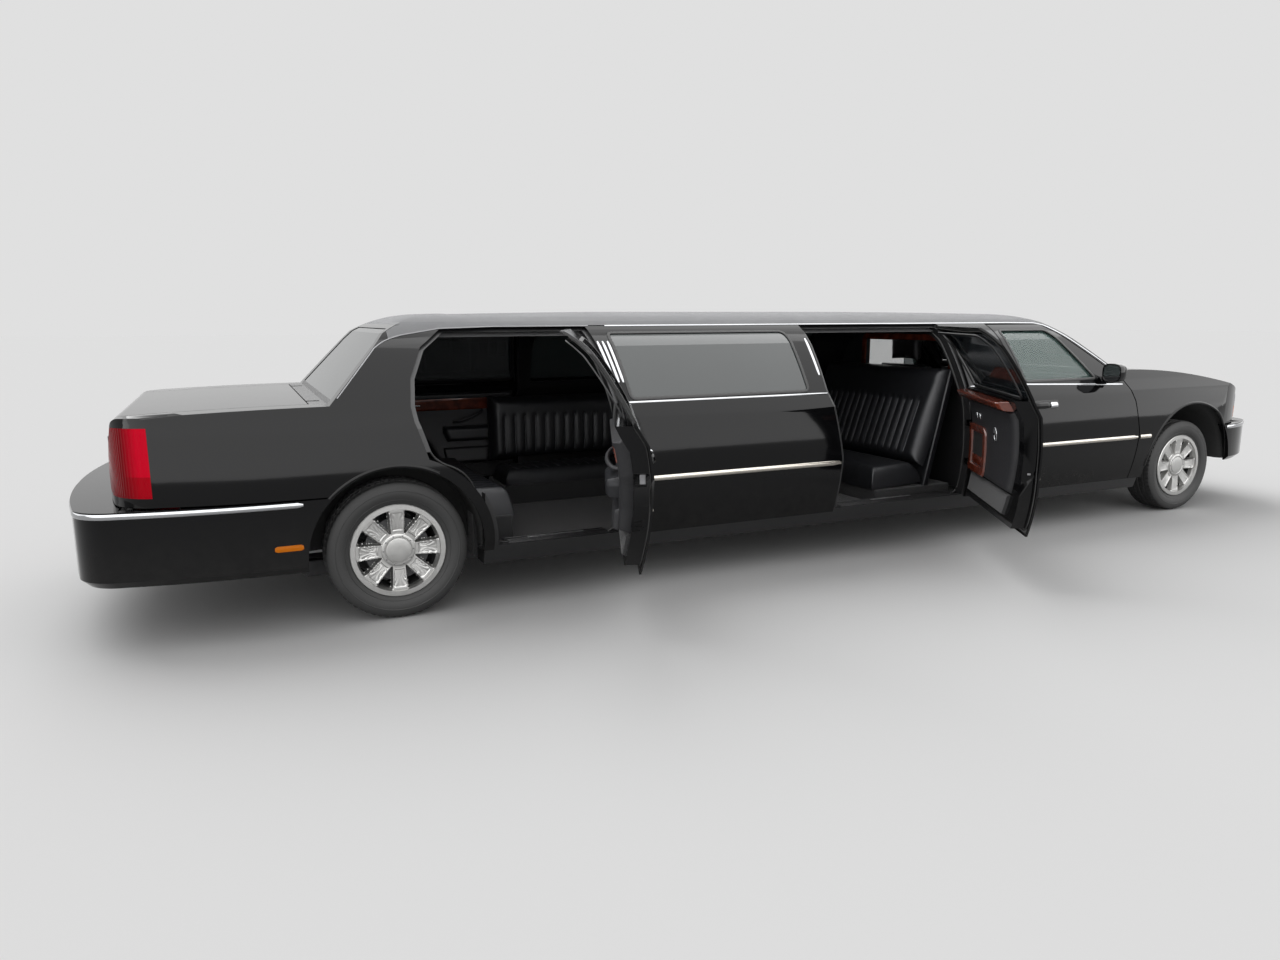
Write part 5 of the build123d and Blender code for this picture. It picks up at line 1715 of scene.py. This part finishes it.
def swell(pads: Sequence[Pad], cap: float = 0.014, frames: int = 16) -> None:
    """Blows the pads up a little with a cloth simulation: P + D min(1, cap / |D|), D its displacement.

    Args:
        pads: the pads, whose points are changed.
        cap: how far a point may move.
        frames: frames of simulation.
    """
    made = []
    for pad in pads:
        mesh = bpy.data.meshes.new("pad")
        mesh.from_pydata(pad.points.tolist(), [], pad.faces)
        with edited(mesh) as work:
            bmesh.ops.recalc_face_normals(work, faces=work.faces)
        item = placed("pad", mesh)
        cloth = item.modifiers.new("swell", "CLOTH")
        cloth.settings.use_pressure = True
        cloth.settings.uniform_pressure_force = 4.0
        cloth.settings.quality = 4
        cloth.settings.effector_weights.gravity = 0.0
        cloth.point_cache.frame_start = 1
        cloth.point_cache.frame_end = frames
        made.append(item)
    for frame_number in range(1, frames + 1):
        bpy.context.scene.frame_set(frame_number)
    graph = bpy.context.evaluated_depsgraph_get()
    for pad, item in zip(pads, made):
        shift = read(item.evaluated_get(graph).data.vertices, "co") - pad.points
        size = np.linalg.norm(shift, axis=1, keepdims=True)
        pad.points = pad.points + shift * np.minimum(1, cap / np.maximum(size, TINY))
        bpy.data.objects.remove(item, do_unlink=True)
    bpy.context.scene.frame_set(1)


@dataclass
class Seats:
    """Fluted leather benches and front seats, each pad blown up by a short cloth simulation."""

    # y of the front seats' right edges, and their width
    front_ys: tuple = (-0.650, 0.120)
    front_width: float = 0.530
    # height at which the plinths start, just above the floor pan
    floor: float = 0.2465

    def pads(self) -> dict[str, list[Pad]]:
        """Every seat's pads, by the CAD node that they stand for."""
        table = {
            "rear_seat": [
                Pad("rear_cushion", (0.110, -0.635, 0.400), (0, 1.27, 0), (0.575, 0, -0.010), (0, 0, 1), 0.150,
                    pitch=0.075, flutes=(0.10, 0.90)),
                Pad("rear_back", (0.098, -0.635, 0.545), (0, 1.27, 0), (-0.138, 0, 0.450), (0.956, 0, 0.293), 0.085,
                    pitch=0.075, flutes=(0.06, 0.66))],
            "middle_seat": [
                Pad("middle_cushion", (3.122, -0.675, 0.335), (0, 1.35, 0), (0.420, 0, 0.022), (-0.05, 0, 0.999),
                    0.125, edge=0.07),
                Pad("middle_back", (3.556, -0.675, 0.458), (0, 1.35, 0), (0.246, 0, 0.665), (-0.938, 0, 0.347),
                    0.112, edge=0.085, pitch=0.072, flutes=(0.05, 0.66), margin=0.15)],
            "side_seat": [
                Pad("side_cushion", (0.905, 0.338, 0.372), (1.69, 0, 0), (0, 0.330, 0.0), (0, 0, 1), 0.095,
                    pitch=0.075, flutes=(0.12, 0.98)),
                Pad("side_back", (0.905, 0.768, 0.490), (1.69, 0, 0), (0, 0.0, 0.455), (0, -1, 0), 0.085,
                    pitch=0.075, flutes=(0.05, 0.72))],
            "front_seats": [],
        }
        for number, y in enumerate(self.front_ys):
            width = (0, self.front_width, 0)
            table["front_seats"] += [
                Pad(f"front_cushion_{number}", (4.420, y, 0.390), width, (0.520, 0, 0.020), (0, 0, 1), 0.125,
                    pitch=0.075, flutes=(0.25, 0.90), margin=0.115),
                Pad(f"front_back_{number}", (4.388, y, 0.485), width, (-0.150, 0, 0.610), (0.970, 0, 0.242), 0.115,
                    edge=0.075, pitch=0.075, flutes=(0.08, 0.70), margin=0.115),
                Pad(f"head_rest_{number}", (4.255, y + 0.115, 1.135), (0, self.front_width - 0.23, 0),
                    (-0.008, 0, 0.180), (1, 0, 0.04), 0.075, edge=0.07)]
        return table

    def bases(self) -> Shape:
        """Plinths below the cushions."""
        shape = Shape().block((0.450, -0.630, self.floor), (0.672, 0.630, 0.402))
        shape.block((3.150, -0.670, self.floor), (3.790, 0.670, 0.337))
        shape.block((0.910, 0.350, self.floor), (2.590, 0.770, 0.374))
        for y in self.front_ys:
            shape.block((4.450, y + 0.02, self.floor), (4.900, y + self.front_width - 0.02, 0.392))
        return shape

    def boards(self) -> Shape:
        """Slanted boards that the backs are fastened to."""
        shape = Shape()
        # columns: x and height of the lower end, x and height of the upper end, thickness, first and last y
        for x0, z0, x1, z1, thick, y0, y1 in ((3.600, 0.330, 3.795, 1.120, 0.045, -0.670, 0.670),
                                              (4.330, 0.400, 4.245, 1.100, -0.030, -0.645, -0.125),
                                              (4.330, 0.400, 4.245, 1.100, -0.030, 0.125, 0.645)):
            shape.prism([(x0, z0), (x1, z1), (x1 - thick, z1), (x0 - thick, z0)], y0, y1)
        return shape

    def build(self) -> None:
        """Shapes, swells, sews and covers every pad."""
        table = self.pads()
        pads = [pad for group in table.values() for pad in group]
        for pad in pads:
            pad.shape_up()
        swell(pads)
        trim = Shape()
        for node, group in table.items():
            for pad in group:
                pad.sew()
                shape = Shape()
                shape.points, shape.faces, shape.count = [pad.points], pad.faces, len(pad.points)
                made = piece(pad.name, shape, LEATHER, sharp=70, replaces=[node])
                if pad.pitch:
                    trim.join(pad.piping())
        piece("seat_piping", trim, PIPING)
        piece("seat_plinths", self.bases(), CARPET, bevel=0.008)
        piece("seat_boards", self.boards(), LEATHER, bevel=0.01)


@dataclass
class Cabin:
    """Carpet, headliner, bar cabinet, partition and dashboard dressing."""

    # height of the carpet, half its width, and its rise at the edges
    carpet_height: float = 0.2485
    carpet_half: float = 0.778
    carpet_rise: float = 0.006
    # depth of the headliner below the roof, and columns x, height of the roof's side outline
    lining: float = 0.045
    roof: tuple = ((0.02, 1.398), (0.16, 1.463), (0.43, 1.494), (2.40, 1.512), (4.33, 1.490), (4.50, 1.474),
                   (4.64, 1.432))

    def carpet(self) -> None:
        """Carpet over the floor between the sills: z = height + rise |y / half|^8."""
        x = np.concatenate([[0.46], np.linspace(0.5, 4.98, 60)])[:, None]
        y = np.linspace(-self.carpet_half, self.carpet_half, 40)[None]
        z = self.carpet_height + self.carpet_rise * (np.abs(y) / self.carpet_half) ** 8
        piece("cabin_carpet", Shape().grid(surface(x, y, z)), CARPET)

    def headliner(self) -> None:
        """Cloth lining: the section moved in by 45 mm, limited under the roof's own side outline."""
        chosen = FLANK.section[:, 1] > 1.412
        ring = FLANK.section[chosen] - self.lining * FLANK.normal[chosen]
        ring = np.concatenate([ring, (ring * (-1, 1))[::-1]])
        x = np.linspace(0.16, 4.50, 50)[:, None]
        z = np.minimum(ring[None, :, 1], np.interp(x, *np.transpose(self.roof)) - self.lining)
        piece("headliner", Shape().grid(surface(x, ring[None, :, 0], z)), HEADLINER)

    def bar(self) -> None:
        """Bar cabinet: wooden top, panelled front and bright rails."""
        top = Shape().block((1.390, -0.775, 0.9005), (2.460, -0.470, 0.922))
        piece("bar_top", top, WOOD, bevel=0.006)
        shape = Shape()
        for first, last in ((1.430, 1.740), (1.770, 2.080), (2.110, 2.420)):
            outline = refined(rounded(rectangle(first, last, 0.330, 0.840), 0.02, 4), 0.05)
            shape.strip(np.insert(outline, 1, -0.479, axis=1), (0.0, 1.0, 0.0), 0.030, 0.008, RIBBON, closed=True)
        piece("bar_panels", shape, WOOD)
        rail = Shape()
        bent = ((-0.05, -0.478), (-0.05, -0.455), (0.05, -0.455), (0.05, -0.478))
        for x in (1.585, 1.925, 2.265):
            rail.tube([(x + along, y, 0.78) for along, y in bent], 0.005)
        rail.tube([(1.42, -0.50, 0.924), (1.42, -0.50, 0.950), (2.43, -0.50, 0.950), (2.43, -0.50, 0.924)], 0.006)
        piece("bar_rails", rail, CHROME)

    def partition(self) -> None:
        """A wooden surround on both faces of the partition's window."""
        shape = Shape()
        outline = refined(rounded(rectangle(-0.475, 0.475, 0.975, 1.325), 0.03, 5), 0.05)
        for x, way in ((3.930, -1.0), (3.960, 1.0)):
            shape.strip(np.insert(outline, 0, x, axis=1), (way, 0.0, 0.0), 0.045, 0.010, RIBBON, closed=True)
        piece("partition_surround", shape, WOOD)

    def dash(self) -> None:
        """Wood across the dashboard, round dials, air vents and a padded brow."""
        piece("dash_wood", Shape().block((4.9845, -0.735, 0.800), (4.9905, 0.735, 0.850)), WOOD, bevel=0.002)
        brow = np.linspace(0.17, 0.57, 25)[:, None]
        turn = np.linspace(0, math.pi, 9)[None]
        height = 1.000 + 0.035 * np.sin(turn) * np.sin(math.pi * (brow - 0.17) / 0.40)
        sheet = surface(4.985 - 0.012 * np.sin(turn) - 0.02, brow, height)
        rings = Shape()
        for y in (0.290, 0.450):
            rings.revolve([(4.989, 0.052), (4.982, 0.056), (4.982, 0.062), (4.989, 0.064)], (0, y, 0.945), 32, axis=0)
        for y in (-0.60, -0.20, 0.02, 0.66):
            for z in (0.885, 0.897, 0.909, 0.921):
                rings.block((4.983, y - 0.05, z), (4.9895, y + 0.05, z + 0.004))
        piece("dash_dials", rings, CHROME)
        piece("dash_brow", Shape().grid(sheet), DOOR_TRIM)

    def build(self) -> None:
        """All of it."""
        self.carpet()
        self.headliner()
        self.bar()
        self.partition()
        self.dash()


@dataclass
class Studio:
    """Floor, soft light and the camera at the photograph's place."""

    camera_at: tuple[float, float, float] = (-0.687, -5.279, 1.468)
    yaw: float = 24.65
    pitch: float = -10.34
    roll: float = -0.19
    focal_px: float = 887.0
    image_width: float = 1280.0
    sensor: float = 36.0
    floor_half: float = 90.0
    sky_light: float = 0.62
    sky_seen: float = 0.745
    sun: float = 1.25
    # columns: side, brightness of its softbox, height of its lower edge
    cards: tuple = ((-1, 2.7, 0.45), (1, 1.6, 4.6))
    # length and width of a softbox, and its middle ahead of the rear axle, beside the car and above its lower edge
    card_size: tuple = (80.0, 24.0)
    card_at: tuple = (2.6, 5.5, 8.5)

    def camera(self) -> None:
        """Places the camera: yaw turns from +Y towards +X, pitch up, roll clockwise."""
        yaw, pitch, roll = np.radians([self.yaw, self.pitch, self.roll])
        ahead = np.array([math.sin(yaw) * math.cos(pitch), math.cos(yaw) * math.cos(pitch), math.sin(pitch)])
        level = np.array([math.cos(yaw), -math.sin(yaw), 0.0])
        above = np.cross(level, ahead)
        right = level * math.cos(roll) + above * math.sin(roll)
        up = above * math.cos(roll) - level * math.sin(roll)
        data = bpy.data.cameras.new("camera")
        data.sensor_fit = "HORIZONTAL"
        data.sensor_width = self.sensor
        data.lens = self.focal_px / self.image_width * self.sensor
        data.clip_end = 200
        camera = placed("camera", data)
        place = np.eye(4)
        place[:3, 0], place[:3, 1], place[:3, 2] = right, up, -ahead
        place[:3, 3] = np.array(self.camera_at) + ORIGIN
        camera.matrix_world = Matrix(place.tolist())
        bpy.context.scene.camera = camera

    def floor(self) -> None:
        """A wide pale floor."""
        graph = Graph("floor")
        graph.set(Base_Color=(0.80, 0.80, 0.80), Roughness=0.9, Specular_IOR_Level=0.0)
        corners = np.array([[-1, -1, 0], [1, -1, 0], [1, 1, 0], [-1, 1, 0]]) * self.floor_half
        mesh = bpy.data.meshes.new("floor")
        mesh.from_pydata(corners.tolist(), [], [(0, 1, 2, 3)])
        mesh.materials.append(graph.material)
        floor = placed("floor", mesh)
        floor.location = (0, 0, -0.001)

    def light(self) -> None:
        """A plain pale sky, brighter where the camera, gloss and glass see it, and one broad soft sun."""
        scene = bpy.context.scene
        scene.world = bpy.data.worlds.new("world")
        scene.world.use_nodes = True
        tree = Tree(scene.world.node_tree)
        colour, strength = tree.tree.nodes["Background"].inputs[:2]
        rays = tree.node("ShaderNodeLightPath")
        seen = rays.out("Is Camera Ray") + rays.out("Is Glossy Ray") + rays.out("Is Transmission Ray")
        span = {"Value": seen, "To Min": self.sky_light, "To Max": self.sky_seen}
        tree.feed(colour, (1.0, 1.0, 1.0))
        tree.feed(strength, tree.node("ShaderNodeMapRange", {}, span).out(0))
        scene.view_settings.view_transform = "Standard"
        data = bpy.data.lights.new("sun", "SUN")
        data.energy = self.sun
        data.angle = math.radians(50)
        sun = placed("sun", data)
        sun.rotation_euler = (math.radians(-38), math.radians(-14), 0)
        sun.visible_glossy = False
        for side, power, low in self.cards:
            self.reflector(side, power, low)

    def reflector(self, side: int, power: float, low: float) -> None:
        """One broad softbox, leaning over the car from beside it, seen by gloss alone."""
        data = bpy.data.lights.new("softbox", "AREA")
        data.shape = "RECTANGLE"
        data.size, data.size_y = self.card_size
        data.energy = power * math.pi * data.size * data.size_y
        lamp = placed("softbox", data)
        ahead, beside, above = self.card_at
        lamp.location = (ORIGIN[0] + ahead, ORIGIN[1] + side * beside, low + above)
        lamp.rotation_euler = (math.radians(side * -45), 0, 0)
        lamp.visible_diffuse = False

    def build(self) -> None:
        """Sets up camera, floor and light."""
        self.camera()
        self.floor()
        self.light()


@dataclass
class Carried:
    """CAD nodes that are shown as they are, each in its slot's finish."""

    def build(self) -> None:
        """Gives every CAD node its finish."""
        for name, node in frame["nodes"].items():
            dress(node.data, SLOT_FINISHES[SLOTS[name]])


def main() -> None:
    """Builds the scene in order."""
    logging.basicConfig(level=logging.INFO, format="%(message)s")
    for part in (Studio(), Carried(), Skins(), Trims(), DoorFurniture(), Bumpers(), Arches(), Rails(), Header(),
                 FrontEnd(), Lamps(), Wheels(), DoorTrims(), Openings(), Seats(), Cabin()):
        part.build()
        LOG.info("%s: %d objects so far", type(part).__name__, len(bpy.data.objects))


if __name__ == "__main__":
    main()
